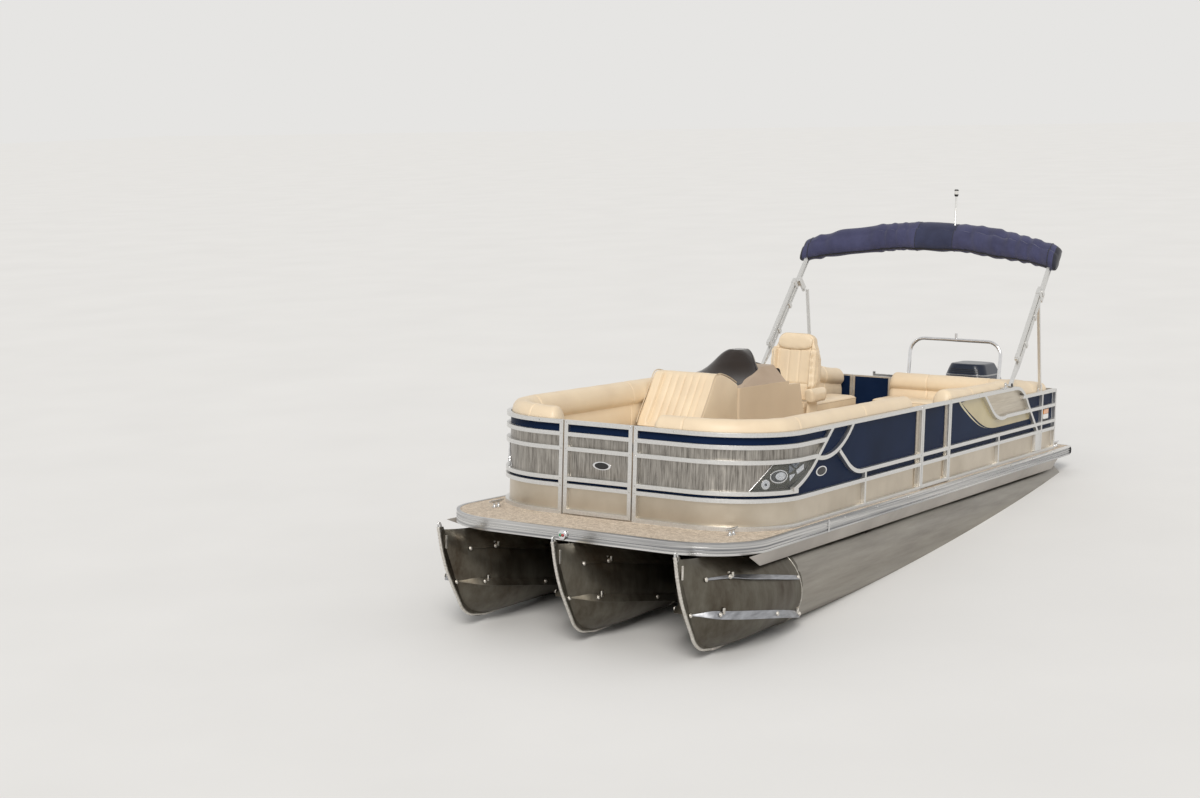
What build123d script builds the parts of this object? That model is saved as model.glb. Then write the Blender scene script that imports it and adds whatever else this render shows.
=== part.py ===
import os
from math import atan2, cos, degrees, hypot, radians, sin

from build123d import *

# A triple-tube pontoon boat afloat. Millimetres. +X is the bow, +Y the port side and +Z is up.
# The origin is amidships on the centre line, at the height of the still water.

os.makedirs("parts", exist_ok=True)

# Deck
deck_top = 580
deck_length = 7680
deck_width = 2590
deck_corner = 560
deck_stern_corner = 60
deck_board = 19
trim_height = 90
trim_width = 26
trim_groove = 5
trim_grooves = 3
trim_lip = 3
bow_edge = deck_length / 2
stern_edge = -deck_length / 2
side_edge = deck_width / 2

# Clearances
seat_gap = 0.3
bearing_gap = 0.05
swing_gap = 6

# Tubes
tube_diameter = 635
tube_spacing = 985
tube_top = 445
tube_set_in = 200
nose_reach = 280
nose_length = 1400
tube_stern = stern_edge + tube_set_in
nose_tip = bow_edge + nose_reach
nose_seam = nose_tip - nose_length
tube_center = tube_top - tube_diameter / 2
tube_bottom = tube_top - tube_diameter
keel_width = 14
keel_depth = 14
keel_root = 40

# Cross members
channel_height = 76
channel_width = 50
channel_wall = 5
channel_pitch = 450
channel_count = 16
channel_first = tube_stern + 80
channel_span = deck_width - 2 * trim_width - 2 * seat_gap
riser_width = 240
riser_length = 34
deck_under = deck_top - deck_board
channel_under = deck_under - channel_height

# Side skirts
skirt_height = 110
skirt_thick = 4
skirt_drop_in = 60
skirt_front = bow_edge - 540
skirt_back = stern_edge + 440
skirt_taper = 300
skirt_set_in = 6

# Fence
bow_deck = 560
stern_deck = 440
side_deck = 65
fence_front = bow_edge - bow_deck
fence_half = side_edge - side_deck
fence_back = stern_edge + stern_deck
fence_corner = 620
fence_height = 716
rail = 32
sheet = 3
rail_levels = {
    "sill": 16,
    "low": 220,
    "front_low": 273,
    "side_low": 297,
    "front_mid": 500,
    "front_high": 610,
}
top_level = fence_height - rail / 2
aft_top_level = 600
aft_mid_level = 455
sheet_margin = 30
bow_gate_port = 160
bow_gate_starboard = -440
side_gate_fore = 265
side_gate_aft = -384
gate_post_run = 1200
accent_post = -1700
aft_post = -2960
aft_drop = -2080
stern_gate_outer = -960
stern_gate_inner = -520
gate_gap = swing_gap
hinge_out = 10
hinge_radius = 9
hinge_pin = 4
hinge_part = 14
hinge_tall = 60
hinge_leaf = 25

# Furniture
base_height = 330
cushion_height = 110
bolster_height = 805
aft_bolster_height = 770
aft_bolster_low = 670
aft_slope_start = -2400
bolster_thick = 175
seat_depth = 590
fence_inside = rail / 2 + sheet + 2
roll = 60

# Helm
console_fore = 420
console_aft = -640
console_port = -420
console_starboard = -fence_half + 65
console_height = 760
console_corner = 40
wing_wall = 60
wing_height = 724
wing_back = 220

# Captain's chair
chair_x = -1350
chair_y = (console_port + console_starboard) / 2
chair_seat_height = 480
chair_seat_thick = 140
chair_width = 540
chair_depth = 500
chair_back_thick = 110
chair_back_lean = 8
chair_arm_height = 655
chair_arm_wide = 95
chair_arm_thick = 150

# Folding top
top_pivot_x = -1820
top_pivot_height = 754
top_leg_y = fence_half + 60
top_lean = 47.6
leg_size = 30
leg_reach = 1480
brace_foot_x = -2890
brace_foot_height = 670
brace_tip_x = -2725
brace_tip_height = 1524

# Tow bar
tow_tube = 38
tow_half = 500
tow_height = 1015
tow_foot_x = stern_edge + 130
tow_lean = 130
tow_corner = 150

# Outboard motor
transom_x = tube_stern - 350
tilt_x = transom_x - 40
tilt_z = 500
steer_x = tilt_x - 130
leg_x = steer_x - 185
prop_z = -300


def fence_strip(outer, inner):
    """Draw in plan the strip between two offsets from the fence's centre line, plus being outboard."""
    for out, mode in ((outer, Mode.ADD), (inner, Mode.SUBTRACT)):
        long_run = 3 * deck_length
        with Locations((fence_front + out - long_run / 2, 0)):
            RectangleRounded(long_run, 2 * (fence_half + out), fence_corner + out, mode=mode)


def keep_window(x_low, x_high, y_low, y_high):
    """Keep only the part of the sketch that lies inside a plan window."""
    with Locations(((x_low + x_high) / 2, (y_low + y_high) / 2)):
        Rectangle(x_high - x_low, y_high - y_low, mode=Mode.INTERSECT)


def strip_piece(outer, inner, window, low, high):
    """Raise a stretch of the fence strip from one height above the deck to another."""
    with BuildSketch(Plane.XY.offset(deck_top + low)) as plan:
        fence_strip(outer, inner)
        keep_window(*window)
    extrude(plan.sketch, amount=high - low)


def box_between(x, y, z, mode=Mode.ADD):
    """Add a block between low and high values along each axis."""
    with BuildSketch(Plane.XY.offset(z[0])) as foot:
        with Locations(((x[0] + x[1]) / 2, (y[0] + y[1]) / 2)):
            Rectangle(x[1] - x[0], y[1] - y[0])
    extrude(foot.sketch, amount=z[1] - z[0], mode=mode)


def post(x, y, high, low=0):
    """Add a square fence post from the deck."""
    half = rail / 2
    box_between((x - half, x + half), (y - half, y + half), (deck_top + low, deck_top + high))


def side_plane(y):
    """Upright plane along the boat at a distance to port, with heights measured from the deck."""
    return Plane(origin=(0, y, deck_top), x_dir=(1, 0, 0), z_dir=(0, -1, 0))


def save(part, label):
    part.label = label
    export_step(part, f"parts/{label}.step")


# Pontoon tubes with pressed nose cones

# Each section of a nose: height of its foot and crown points, their distances along the boat, half width
nose_sections = (
    (nose_seam, tube_bottom, nose_seam, tube_top, tube_diameter / 2),
    (nose_tip - 890, tube_bottom - 15, nose_tip - 850, tube_top + 13, 300),
    (nose_tip - 510, tube_bottom, nose_tip - 380, tube_top + 31, 205),
    (nose_tip - 285, tube_bottom + 150, nose_tip - 10, tube_top + 67, 9),
)

# Outer line of the keel strip: distance behind the tip and height above the tube's bottom
keel_start = (tube_stern + 40, tube_bottom + 2 - keel_depth)
keel_turn = (nose_tip - 640, tube_bottom - 10 - keel_depth)
keel_chin = ((nose_tip - 405, tube_bottom + 10), (nose_tip - 260, tube_bottom + 145))
keel_stem = ((nose_tip - 98, tube_bottom + 405), (nose_tip + 8, tube_top + 83))


def nose_plane(foot_x, foot_z, crown_x, crown_z, y):
    """Plane of a nose section, fanned forward from upright."""
    up = Vector(crown_x - foot_x, 0, crown_z - foot_z).normalized()
    middle = ((foot_x + crown_x) / 2, y, (foot_z + crown_z) / 2)
    return Plane(origin=middle, x_dir=(0, 1, 0), z_dir=Vector(0, 1, 0).cross(up))


def pontoon(y):
    with BuildPart() as tube:
        with BuildSketch(Plane.YZ.offset(tube_stern)):
            with Locations((y, tube_center)):
                Circle(tube_diameter / 2)
        extrude(amount=nose_seam - tube_stern)
        for foot_x, foot_z, crown_x, crown_z, half in nose_sections:
            tall = hypot(crown_x - foot_x, crown_z - foot_z)
            with BuildSketch(nose_plane(foot_x, foot_z, crown_x, crown_z, y)):
                with BuildLine():
                    ThreePointArc((0, -tall / 2), (half, 0), (0, tall / 2))
                    ThreePointArc((0, tall / 2), (-half, 0), (0, -tall / 2))
                make_face()
        loft()
        # Keel strip along the bottom and up the leading edge
        with BuildSketch(Plane.XZ.offset(-y - keel_width / 2)):
            with BuildLine():
                Line(keel_start, keel_turn)
                ThreePointArc(keel_turn, *keel_chin)
                ThreePointArc(keel_chin[1], *keel_stem)
                inside = [
                    (x - keel_root - keel_depth, z + rise)
                    for (x, z), rise in ((keel_stem[1], 0), (keel_stem[0], 20), (keel_chin[1], 40),
                                         (keel_chin[0], 60), (keel_turn, 80), (keel_start, 60))
                ]
                Polyline(keel_stem[1], *inside[:-1], (keel_start[0], inside[-1][1]), keel_start)
            make_face()
        extrude(amount=keel_width)
    return tube.part


for side_name, y in (("port", tube_spacing), ("center", 0), ("starboard", -tube_spacing)):
    save(pontoon(y), f"pontoon_{side_name}")

# Cross members: one channel across the boat at each station, on risers that stand on the tubes

with BuildPart() as cross_members:
    for n in range(channel_count):
        x = channel_first + n * channel_pitch
        with BuildSketch(Plane.XZ.offset(-channel_span / 2)):
            with Locations((x, channel_under + channel_height / 2)):
                Rectangle(channel_width, channel_height)
            with Locations((x + channel_wall, channel_under + channel_height / 2)):
                Rectangle(channel_width, channel_height - 2 * channel_wall, mode=Mode.SUBTRACT)
        extrude(amount=channel_span)
save(cross_members.part, "cross_members")

with BuildPart() as tube_risers:
    for n in range(channel_count):
        x = channel_first + n * channel_pitch
        if x > nose_seam:
            break
        for y in (tube_spacing, 0, -tube_spacing):
            half_foot = riser_width / 2
            foot = tube_center + (tube_diameter ** 2 / 4 - half_foot ** 2) ** 0.5 + seat_gap
            head = channel_under - seat_gap
            with BuildSketch(Plane.YZ.offset(x - riser_length / 2)):
                with BuildLine():
                    Polyline(
                        (y - half_foot, foot),
                        (y - half_foot, head),
                        (y + half_foot, head),
                        (y + half_foot, foot),
                    )
                    ThreePointArc((y + half_foot, foot), (y, tube_top + seat_gap), (y - half_foot, foot))
                make_face()
            extrude(amount=riser_length)
save(tube_risers.part, "tube_risers")

# Deck board and the fluted trim around its edge

with BuildPart() as deck_panel:
    with BuildSketch(Plane.XY.offset(deck_under)) as board:
        Rectangle(deck_length - 2 * trim_width - 2 * seat_gap, deck_width - 2 * trim_width - 2 * seat_gap)
        fillet(board.vertices().group_by(Axis.X)[-1], deck_corner - trim_width)
        fillet(board.vertices().group_by(Axis.X)[0], deck_stern_corner - trim_width)
    extrude(amount=deck_board)
save(deck_panel.part, "deck_panel")


def deck_outline(inset, mode=Mode.ADD):
    """Plan of the deck's edge, moved in by an inset."""
    with BuildSketch(mode=Mode.PRIVATE) as plan:
        Rectangle(deck_length - 2 * inset, deck_width - 2 * inset)
        fillet(plan.vertices().group_by(Axis.X)[-1], deck_corner - inset)
        fillet(plan.vertices().group_by(Axis.X)[0], max(deck_stern_corner - inset, 1))
    add(plan.sketch, mode=mode)


with BuildPart() as deck_trim:
    with BuildSketch(Plane.XY.offset(deck_top - trim_height)):
        deck_outline(0)
        deck_outline(trim_width, mode=Mode.SUBTRACT)
    extrude(amount=trim_height + trim_lip)
    groove_pitch = trim_height / (trim_grooves + 1)
    for n in range(trim_grooves):
        with BuildSketch(Plane.XY.offset(deck_top - (n + 1) * groove_pitch - groove_pitch / 4)):
            deck_outline(0)
            deck_outline(trim_groove, mode=Mode.SUBTRACT)
        extrude(amount=groove_pitch / 2, mode=Mode.SUBTRACT)
save(deck_trim.part, "deck_trim")

# Slanted skirts that hang below the trim along both sides

with BuildPart() as side_skirts:
    skirt_top = deck_top - trim_height - seat_gap
    skirt_out = side_edge - skirt_set_in
    for side in (1, -1):
        with BuildSketch(Plane.YZ.offset(skirt_back)):
            with BuildLine():
                Polyline(
                    (side * skirt_out, skirt_top),
                    (side * (skirt_out - skirt_drop_in), skirt_top - skirt_height),
                    (side * (skirt_out - skirt_drop_in - skirt_thick), skirt_top - skirt_height),
                    (side * (skirt_out - skirt_thick), skirt_top),
                    close=True,
                )
            make_face()
        extrude(amount=skirt_front + skirt_taper - skirt_back)
    # The fore end is cut on a slope
    with BuildSketch(Plane.XZ.offset(-deck_width)):
        with BuildLine():
            Polyline(
                (skirt_front + skirt_taper, skirt_top + 1),
                (skirt_front, skirt_top - skirt_height - 1),
                (skirt_front + 2 * skirt_taper, skirt_top - skirt_height - 1),
                (skirt_front + 2 * skirt_taper, skirt_top + 1),
                close=True,
            )
        make_face()
    extrude(amount=2 * deck_width, mode=Mode.SUBTRACT)
save(side_skirts.part, "side_skirts")

# Mooring cleats

cleat_places = [
    (x, side * (side_edge - set_in))
    for x, set_in in ((bow_edge - 510, 285), (stern_edge + 220, 105))
    for side in (1, -1)
]
cleat_foot = 9
cleat_spread = 28
cleat_high = 42
cleat_bar = 11
cleat_length = 190
with BuildPart() as deck_cleats:
    for x, y in cleat_places:
        for shift in (-cleat_spread, cleat_spread):
            with BuildSketch(Plane.XY.offset(deck_top)):
                with Locations((x + shift, y)):
                    Circle(cleat_foot)
            extrude(amount=cleat_high - 2)
        with BuildSketch(Plane.YZ.offset(x - cleat_length / 2)):
            with Locations((y, deck_top + cleat_high)):
                Circle(cleat_bar)
        extrude(amount=cleat_length)
save(deck_cleats.part, "deck_cleats")

# Gate hinges: each has its pin's place in plan, the way to its post, the way outboard and heights

half_rail = rail / 2
hinge_heights = (120, 520)
stern_hinge_heights = (120, 430)
bow_hinge = ((fence_front - half_rail - hinge_out, bow_gate_port), (0, 1), (1, 0), hinge_heights)
port_hinge = ((side_gate_fore, fence_half - half_rail - hinge_out), (1, 0), (0, 1), hinge_heights)
stern_hinge = (
    (fence_back + rail + hinge_out, stern_gate_outer - gate_gap / 2),
    (0, -1),
    (-1, 0),
    stern_hinge_heights,
)


def hinge_block(hinge, along, out, z):
    """Add a block beside a hinge pin, between distances towards the post and outboard."""
    pin, post_way, out_way, _ = hinge
    corners = [
        (pin[0] + a * post_way[0] + b * out_way[0], pin[1] + a * post_way[1] + b * out_way[1])
        for a, b in ((along[0], out[0]), (along[1], out[1]))
    ]
    x, y = (sorted(values) for values in zip(*corners))
    box_between(x, y, z)


def hinge_disc(hinge, radius, z, mode=Mode.ADD):
    """Add a round piece about a hinge pin's axis."""
    with BuildSketch(Plane.XY.offset(z[0])) as disc:
        with Locations(hinge[0]):
            Circle(radius)
    extrude(disc.sketch, amount=z[1] - z[0], mode=mode)


def post_knuckles(hinge, reach):
    """Add the pins and the outer knuckles of a gate's hinges, with leaves that reach their post."""
    for height in hinge[3]:
        low = deck_top + height
        high = low + hinge_tall
        hinge_disc(hinge, hinge_pin, (low, high))
        for z in ((low, low + hinge_part), (high - hinge_part, high)):
            hinge_disc(hinge, hinge_radius, z)
            hinge_block(hinge, (0, reach), (hinge_out - 4, hinge_out + 1), z)


def gate_knuckles(hinge):
    """Add the middle knuckles of a gate's hinges, bored for the pins, with their leaves."""
    for height in hinge[3]:
        z = (deck_top + height + hinge_part + 0.5, deck_top + height + hinge_tall - hinge_part - 0.5)
        hinge_disc(hinge, hinge_radius, z)
        hinge_block(hinge, (-hinge_leaf, 0), (hinge_out - 4, hinge_out + 1), z)
        hinge_disc(hinge, hinge_pin + bearing_gap, z, Mode.SUBTRACT)


# Fence of square tube: long rails that follow the fence line, posts at each end, curved accents

corner_x = fence_front - fence_corner


def accent_rails(side):
    """Curved rails in the flat of the side: the lamp's rear edge and the two sweeps behind it."""
    with BuildSketch(side_plane(side * fence_half + half_rail)) as curves:
        with BuildLine() as lamp_edge:
            Line((2120, top_level), (2420, 470))
            TangentArc((2420, 470), (2800, 290), tangent=(300, -230))
        trace(lines=lamp_edge.line, line_width=rail)
        with BuildLine() as upper_sweep:
            ThreePointArc((2420, 492), (2010, 520), (1735, top_level))
        trace(lines=upper_sweep.line, line_width=rail)
        with BuildLine() as lower_sweep:
            Line((1990, 500), (1830, 390))
            TangentArc((1830, 390), (1500, 297), tangent=(-160, -110))
        trace(lines=lower_sweep.line, line_width=rail)
    extrude(curves.sketch, amount=rail)


def bow_fence(side, gate_edge, hinges):
    """Fence from the bow gate round the corner to the side gate or the matching post."""
    y_ends = (gate_edge, 2 * fence_half) if side > 0 else (-2 * fence_half, gate_edge)
    runs = (
        (rail_levels["sill"], side_gate_fore),
        (rail_levels["low"], side_gate_fore),
        (rail_levels["front_low"], corner_x + 60),
        (rail_levels["front_mid"], 2400),
        (rail_levels["front_high"], 2240),
        (top_level, side_gate_fore),
    )
    with BuildPart() as fence:
        for level, x_back in runs:
            window = (x_back, 2 * fence_front, *y_ends)
            strip_piece(half_rail, -half_rail, window, level - half_rail, level + half_rail)
        window = (side_gate_fore, 1520, *y_ends)
        level = rail_levels["side_low"]
        strip_piece(half_rail, -half_rail, window, level - half_rail, level + half_rail)
        post(side_gate_fore + half_rail, side * fence_half, fence_height)
        post(side_gate_fore + gate_post_run, side * fence_half, rail_levels["side_low"])
        post(fence_front, gate_edge + side * half_rail, fence_height)
        accent_rails(side)
        for hinge in hinges:
            post_knuckles(hinge, hinge_leaf)
    return fence.part


save(bow_fence(1, bow_gate_port + gate_gap, (bow_hinge, port_hinge)), "fence_frame_port_bow")
save(bow_fence(-1, bow_gate_starboard - gate_gap, ()), "fence_frame_starboard_bow")


def quarter_fence(side, x_fore, hinges):
    """Fence from the side gate aft to the stern corner, with its stepped-down aft end."""
    y_ends = (0, 2 * fence_half) if side > 0 else (-2 * fence_half, 0)
    runs = (
        (rail_levels["sill"], fence_back, x_fore),
        (rail_levels["low"], fence_back, x_fore),
        (rail_levels["side_low"], fence_back, x_fore),
        (aft_mid_level, fence_back, -2520),
        (aft_top_level, fence_back, -2360),
        (top_level, aft_drop, x_fore),
    )
    with BuildPart() as fence:
        for level, x_back, x_front in runs:
            window = (x_back, x_front, *y_ends)
            strip_piece(half_rail, -half_rail, window, level - half_rail, level + half_rail)
        post(x_fore - half_rail, side * fence_half, fence_height)
        post(accent_post, side * fence_half, rail_levels["side_low"])
        post(aft_post, side * fence_half, aft_top_level)
        post(fence_back + half_rail, side * fence_half, aft_top_level)
        with BuildSketch(side_plane(side * fence_half + half_rail)):
            with BuildLine() as drop:
                Line((aft_drop + 20, top_level), (aft_drop - 60, top_level))
                TangentArc((aft_drop - 60, top_level), (-2520, 520), tangent=(-1, 0))
                Line((-2520, 520), (-2850, 225))
            trace(lines=drop.line, line_width=rail)
            with BuildLine() as plate_frame:
                Line((-1262, top_level), (-1480, 545))
                TangentArc((-1480, 545), (-1900, aft_mid_level), tangent=(-218, -155))
                Line((-1900, aft_mid_level), (-2600, aft_mid_level))
            trace(lines=plate_frame.line, line_width=rail)
        extrude(amount=rail)
        for hinge in hinges:
            post_knuckles(hinge, hinge_leaf)
    return fence.part


save(quarter_fence(1, side_gate_aft, ()), "fence_frame_port_quarter")
save(quarter_fence(-1, side_gate_fore - gate_gap, ()), "fence_frame_starboard_quarter")

stern_levels = (rail_levels["sill"], rail_levels["low"], rail_levels["side_low"], aft_top_level)
stern_end = fence_half - half_rail - seat_gap
with BuildPart() as fence_frame_stern:
    stern_x = fence_back + half_rail
    for level in stern_levels:
        for y in ((stern_gate_inner + gate_gap, stern_end), (-stern_end, stern_gate_outer - gate_gap)):
            box_between(
                (fence_back, fence_back + rail),
                y,
                (deck_top + level - half_rail, deck_top + level + half_rail),
            )
    for y in (stern_gate_outer - gate_gap - half_rail, stern_gate_inner + gate_gap + half_rail, 0, 620):
        post(stern_x, y, aft_top_level)
    post_knuckles(stern_hinge, hinge_leaf)
save(fence_frame_stern.part, "fence_frame_stern")

# Fence sheets, fixed to the inner face of the rails

skin_out = -half_rail - seat_gap
skin_in = skin_out - sheet


def lamp_region(mode):
    """Cut or keep what lies between two heights forward of the curved rail."""
    with BuildSketch(side_plane(fence_half * 2)) as region:
        with BuildLine():
            Polyline(
                (2240, rail_levels["front_high"]),
                (2440, 460),
                (2640, 330),
                (2800, rail_levels["front_low"]),
                (2 * fence_front, rail_levels["front_low"]),
                (2 * fence_front, rail_levels["front_high"]),
                close=True,
            )
        make_face()
    extrude(region.sketch, amount=fence_half * 4, mode=mode)


sheet_fore = side_gate_fore + sheet_margin
sheet_back = fence_back + rail + 6
bow_windows = (
    (sheet_fore, 2 * fence_front, bow_gate_port + gate_gap + sheet_margin, 2 * fence_half),
    (sheet_fore, 2 * fence_front, -2 * fence_half, bow_gate_starboard - gate_gap - sheet_margin),
)
quarter_windows = (
    (sheet_back, side_gate_aft - sheet_margin, 0, 2 * fence_half),
    (sheet_back, side_gate_fore - gate_gap, -2 * fence_half, 0),
)
navy_low = rail_levels["low"]
stern_inner_end = fence_half + skin_in - seat_gap
stern_stretches = (
    (stern_gate_inner + gate_gap, stern_inner_end),
    (-stern_inner_end, stern_gate_outer - gate_gap / 2 - hinge_leaf - 2),
)
skin_x = (fence_back + rail + seat_gap, fence_back + rail + seat_gap + sheet)

with BuildPart() as fence_sheets_navy:
    for window in bow_windows:
        strip_piece(skin_out, skin_in, window, navy_low + seat_gap, fence_height)
    lamp_region(Mode.SUBTRACT)
save(fence_sheets_navy.part, "fence_sheets_navy")

with BuildPart() as fence_sheets_bright:
    for window in bow_windows:
        strip_piece(skin_out, skin_in, window, navy_low + seat_gap, fence_height)
    lamp_region(Mode.INTERSECT)
save(fence_sheets_bright.part, "fence_sheets_bright")

with BuildPart() as fence_sheets_quarter:
    for window in quarter_windows:
        strip_piece(skin_out, skin_in, window, navy_low + seat_gap, fence_height)
    with BuildSketch(side_plane(fence_half * 2)):
        with BuildLine():
            Polyline(
                (aft_drop - 60, fence_height + 1),
                (-2400, aft_top_level),
                (fence_back - 100, aft_top_level),
                (fence_back - 100, fence_height + 1),
                close=True,
            )
        make_face()
    extrude(amount=fence_half * 4, mode=Mode.SUBTRACT)
    for stretch in stern_stretches:
        box_between(skin_x, stretch, (deck_top + navy_low + seat_gap, deck_top + aft_top_level))
save(fence_sheets_quarter.part, "fence_sheets_quarter")

with BuildPart() as fence_sheets_lower:
    for window in bow_windows + quarter_windows:
        strip_piece(skin_out, skin_in, window, 0, navy_low)
    for stretch in stern_stretches:
        box_between(skin_x, stretch, (deck_top, deck_top + navy_low))
save(fence_sheets_lower.part, "fence_sheets_lower")

# Gates: a frame of square tube with a sheet behind it, hung on one side post


def gate_frame(x, y, levels, along, hinge):
    """Gate frame in plan between two corners; along is the axis letter it runs on."""
    with BuildPart() as frame:
        gate_knuckles(hinge)
        ends = x if along == "x" else y
        for level in levels:
            box_between(x, y, (deck_top + level - half_rail, deck_top + level + half_rail))
        for low, high in ((ends[0], ends[0] + rail), (ends[1] - rail, ends[1])):
            bottom = deck_top + levels[0] - half_rail
            top = deck_top + levels[-1] + half_rail
            if along == "x":
                box_between((low, high), y, (bottom, top))
            else:
                box_between(x, (low, high), (bottom, top))
    return frame.part


gate_lift = 10
front_levels = [level for name, level in rail_levels.items() if name != "side_low"] + [top_level]
front_levels[0] += gate_lift
side_levels = [rail_levels["sill"] + gate_lift, rail_levels["low"], rail_levels["side_low"], top_level]
stern_gate_levels = side_levels[:3] + [aft_top_level]

bow_gate_x = (fence_front - half_rail, fence_front + half_rail)
bow_gate_y = (bow_gate_starboard + gate_gap, bow_gate_port - gate_gap)
save(gate_frame(bow_gate_x, bow_gate_y, front_levels, "y", bow_hinge), "bow_gate_frame")

port_gate_x = (side_gate_aft + gate_gap, side_gate_fore - gate_gap)
port_gate_y = (fence_half - half_rail, fence_half + half_rail)
save(gate_frame(port_gate_x, port_gate_y, side_levels, "x", port_hinge), "port_gate_frame")

stern_gate_x = (fence_back, fence_back + rail)
stern_gate_y = (stern_gate_outer, stern_gate_inner - gate_gap)
save(gate_frame(stern_gate_x, stern_gate_y, stern_gate_levels, "y", stern_hinge), "stern_gate_frame")

for gate, x, y, top in (
    ("bow_gate", (bow_gate_x[0] - seat_gap - sheet, bow_gate_x[0] - seat_gap),
     (bow_gate_y[0] + sheet_margin, bow_gate_y[1] - sheet_margin), fence_height),
    ("port_gate", (port_gate_x[0] + sheet_margin, port_gate_x[1] - sheet_margin),
     (port_gate_y[0] - seat_gap - sheet, port_gate_y[0] - seat_gap), fence_height),
    ("stern_gate", (stern_gate_x[1] + seat_gap, stern_gate_x[1] + seat_gap + sheet),
     (stern_gate_y[0] + sheet_margin, stern_gate_y[1] - sheet_margin), aft_top_level + half_rail),
):
    with BuildPart() as gate_sheets:
        box_between(x, y, (deck_top + gate_lift + half_rail, deck_top + navy_low))
        box_between(x, y, (deck_top + navy_low + seat_gap, deck_top + top - half_rail))
    save(gate_sheets.part, f"{gate}_sheets")

# Lounge seats: a moulded base, a cushion on it and a rolled bolster against the fence

bolster_out = -fence_inside
bolster_in = bolster_out - bolster_thick
nosing = 15
chaise_reach = 1080
chaise_wing = (
    (console_fore + seat_gap, console_fore + chaise_reach),
    (-fence_half + seat_depth - 100, console_port),
)
bow_seats = (
    ("port", (side_gate_fore + 90, 2 * fence_front, bow_gate_port + 110, 2 * fence_half), ()),
    ("starboard", (console_fore + seat_gap, 2 * fence_front, -2 * fence_half, bow_gate_starboard - 80),
     (chaise_wing,)),
)


def crown(bolster):
    """Slope the top of an aft bolster down towards the stern and round its edges."""
    with BuildSketch(side_plane(2 * fence_half)) as slope:
        with BuildLine():
            Polyline(
                (aft_slope_start, aft_bolster_height + 1),
                (fence_back, aft_bolster_low),
                (fence_back, aft_bolster_height + 1),
                close=True,
            )
        make_face()
    extrude(slope.sketch, amount=4 * fence_half, mode=Mode.SUBTRACT)
    tops = bolster.faces().filter_by(lambda face: face.normal_at().Z > 0.9)
    crease = min(abs(edge.center().X - aft_slope_start) for edge in bolster.edges().filter_by(Axis.Y))
    fillet([edge for edge in tops.edges() if abs(edge.center().X - aft_slope_start) > crease + 1], roll)


def lounge(name, window, depth, wings=()):
    """Base and cushion along the fence; each wing is a plan window that widens the seat."""
    with BuildPart() as base:
        strip_piece(bolster_out, -depth, window, seat_gap, base_height)
        for x, y in wings:
            box_between(x, y, (deck_top + seat_gap, deck_top + base_height))
    save(base.part, f"{name}_base")
    low = base_height + seat_gap
    high = low + cushion_height
    with BuildPart() as cushion:
        strip_piece(bolster_in - seat_gap, -depth - nosing, window, low, high)
        for x, y in wings:
            box_between(x, (y[0], y[1] + nosing), (deck_top + low, deck_top + high))
    save(cushion.part, f"{name}_cushion")


for side_name, window, wings in bow_seats:
    lounge(f"bow_{side_name}_seat", window, seat_depth, wings)
    with BuildPart() as bolster:
        strip_piece(bolster_out, bolster_in, window, base_height + seat_gap, bolster_height)
        fillet(bolster.faces().sort_by(Axis.Z)[-1].edges(), roll)
    save(bolster.part, f"bow_{side_name}_seat_bolster")

# Chaise back that stands against the console's front

chaise_port = console_port
chaise_starboard = -fence_half - bolster_in + seat_gap
seat_top = base_height + cushion_height + 2 * seat_gap
chaise_wing_wide = 90
chaise_dish = 40

# Side line of the chaise back: distance ahead of the console and height above the deck
chaise_line = ((seat_gap, seat_top), (seat_gap, 800), (180, 870), (380, 905), (470, 865), (730, 500),
               (730, seat_top))
with BuildPart() as chaise_back:
    for inset, low, high in ((0, chaise_starboard, chaise_starboard + chaise_wing_wide),
                             (chaise_dish, chaise_starboard, chaise_port),
                             (0, chaise_port - chaise_wing_wide, chaise_port)):
        with BuildSketch(side_plane(high)):
            with BuildLine():
                Polyline(*[(console_fore + max(x - inset * (x > 400), seat_gap), z) for x, z in chaise_line],
                         close=True)
            make_face()
        extrude(amount=high - low)
save(chaise_back.part, "chaise_back")

# Aft lounge: across the stern and forward along the port side

aft_seat_fore = side_gate_aft - 60
stern_inside = fence_back + rail + 2 * seat_gap + sheet
starboard_end = stern_gate_inner + 20


def lounge_plan(out, deep):
    """Plan of the aft lounge: a leg along the port fence and one across the stern."""
    side_y = fence_half - out
    back_x = stern_inside + out - fence_inside
    for x, y in (
        ((back_x, aft_seat_fore), (fence_half - fence_inside - deep, side_y)),
        ((back_x, stern_inside + deep), (starboard_end, side_y)),
    ):
        with Locations(((x[0] + x[1]) / 2, (y[0] + y[1]) / 2)):
            Rectangle(x[1] - x[0], y[1] - y[0])


with BuildPart() as aft_seat_base:
    with BuildSketch(Plane.XY.offset(deck_top)):
        lounge_plan(fence_inside, seat_depth)
    extrude(amount=base_height)
save(aft_seat_base.part, "aft_seat_base")

aft_cushion_low = deck_top + base_height + seat_gap
with BuildPart() as aft_seat_cushion:
    with BuildSketch(Plane.XY.offset(aft_cushion_low)):
        lounge_plan(fence_inside + bolster_thick + seat_gap, seat_depth + 15)
    extrude(amount=cushion_height)
save(aft_seat_cushion.part, "aft_seat_cushion")

with BuildPart() as aft_seat_bolster:
    with BuildSketch(Plane.XY.offset(aft_cushion_low)):
        lounge_plan(fence_inside, bolster_thick)
    extrude(amount=deck_top + aft_bolster_height - aft_cushion_low)
    crown(aft_seat_bolster)
save(aft_seat_bolster.part, "aft_seat_bolster")

# Starboard aft seat, between the helm and the stern gate

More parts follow.
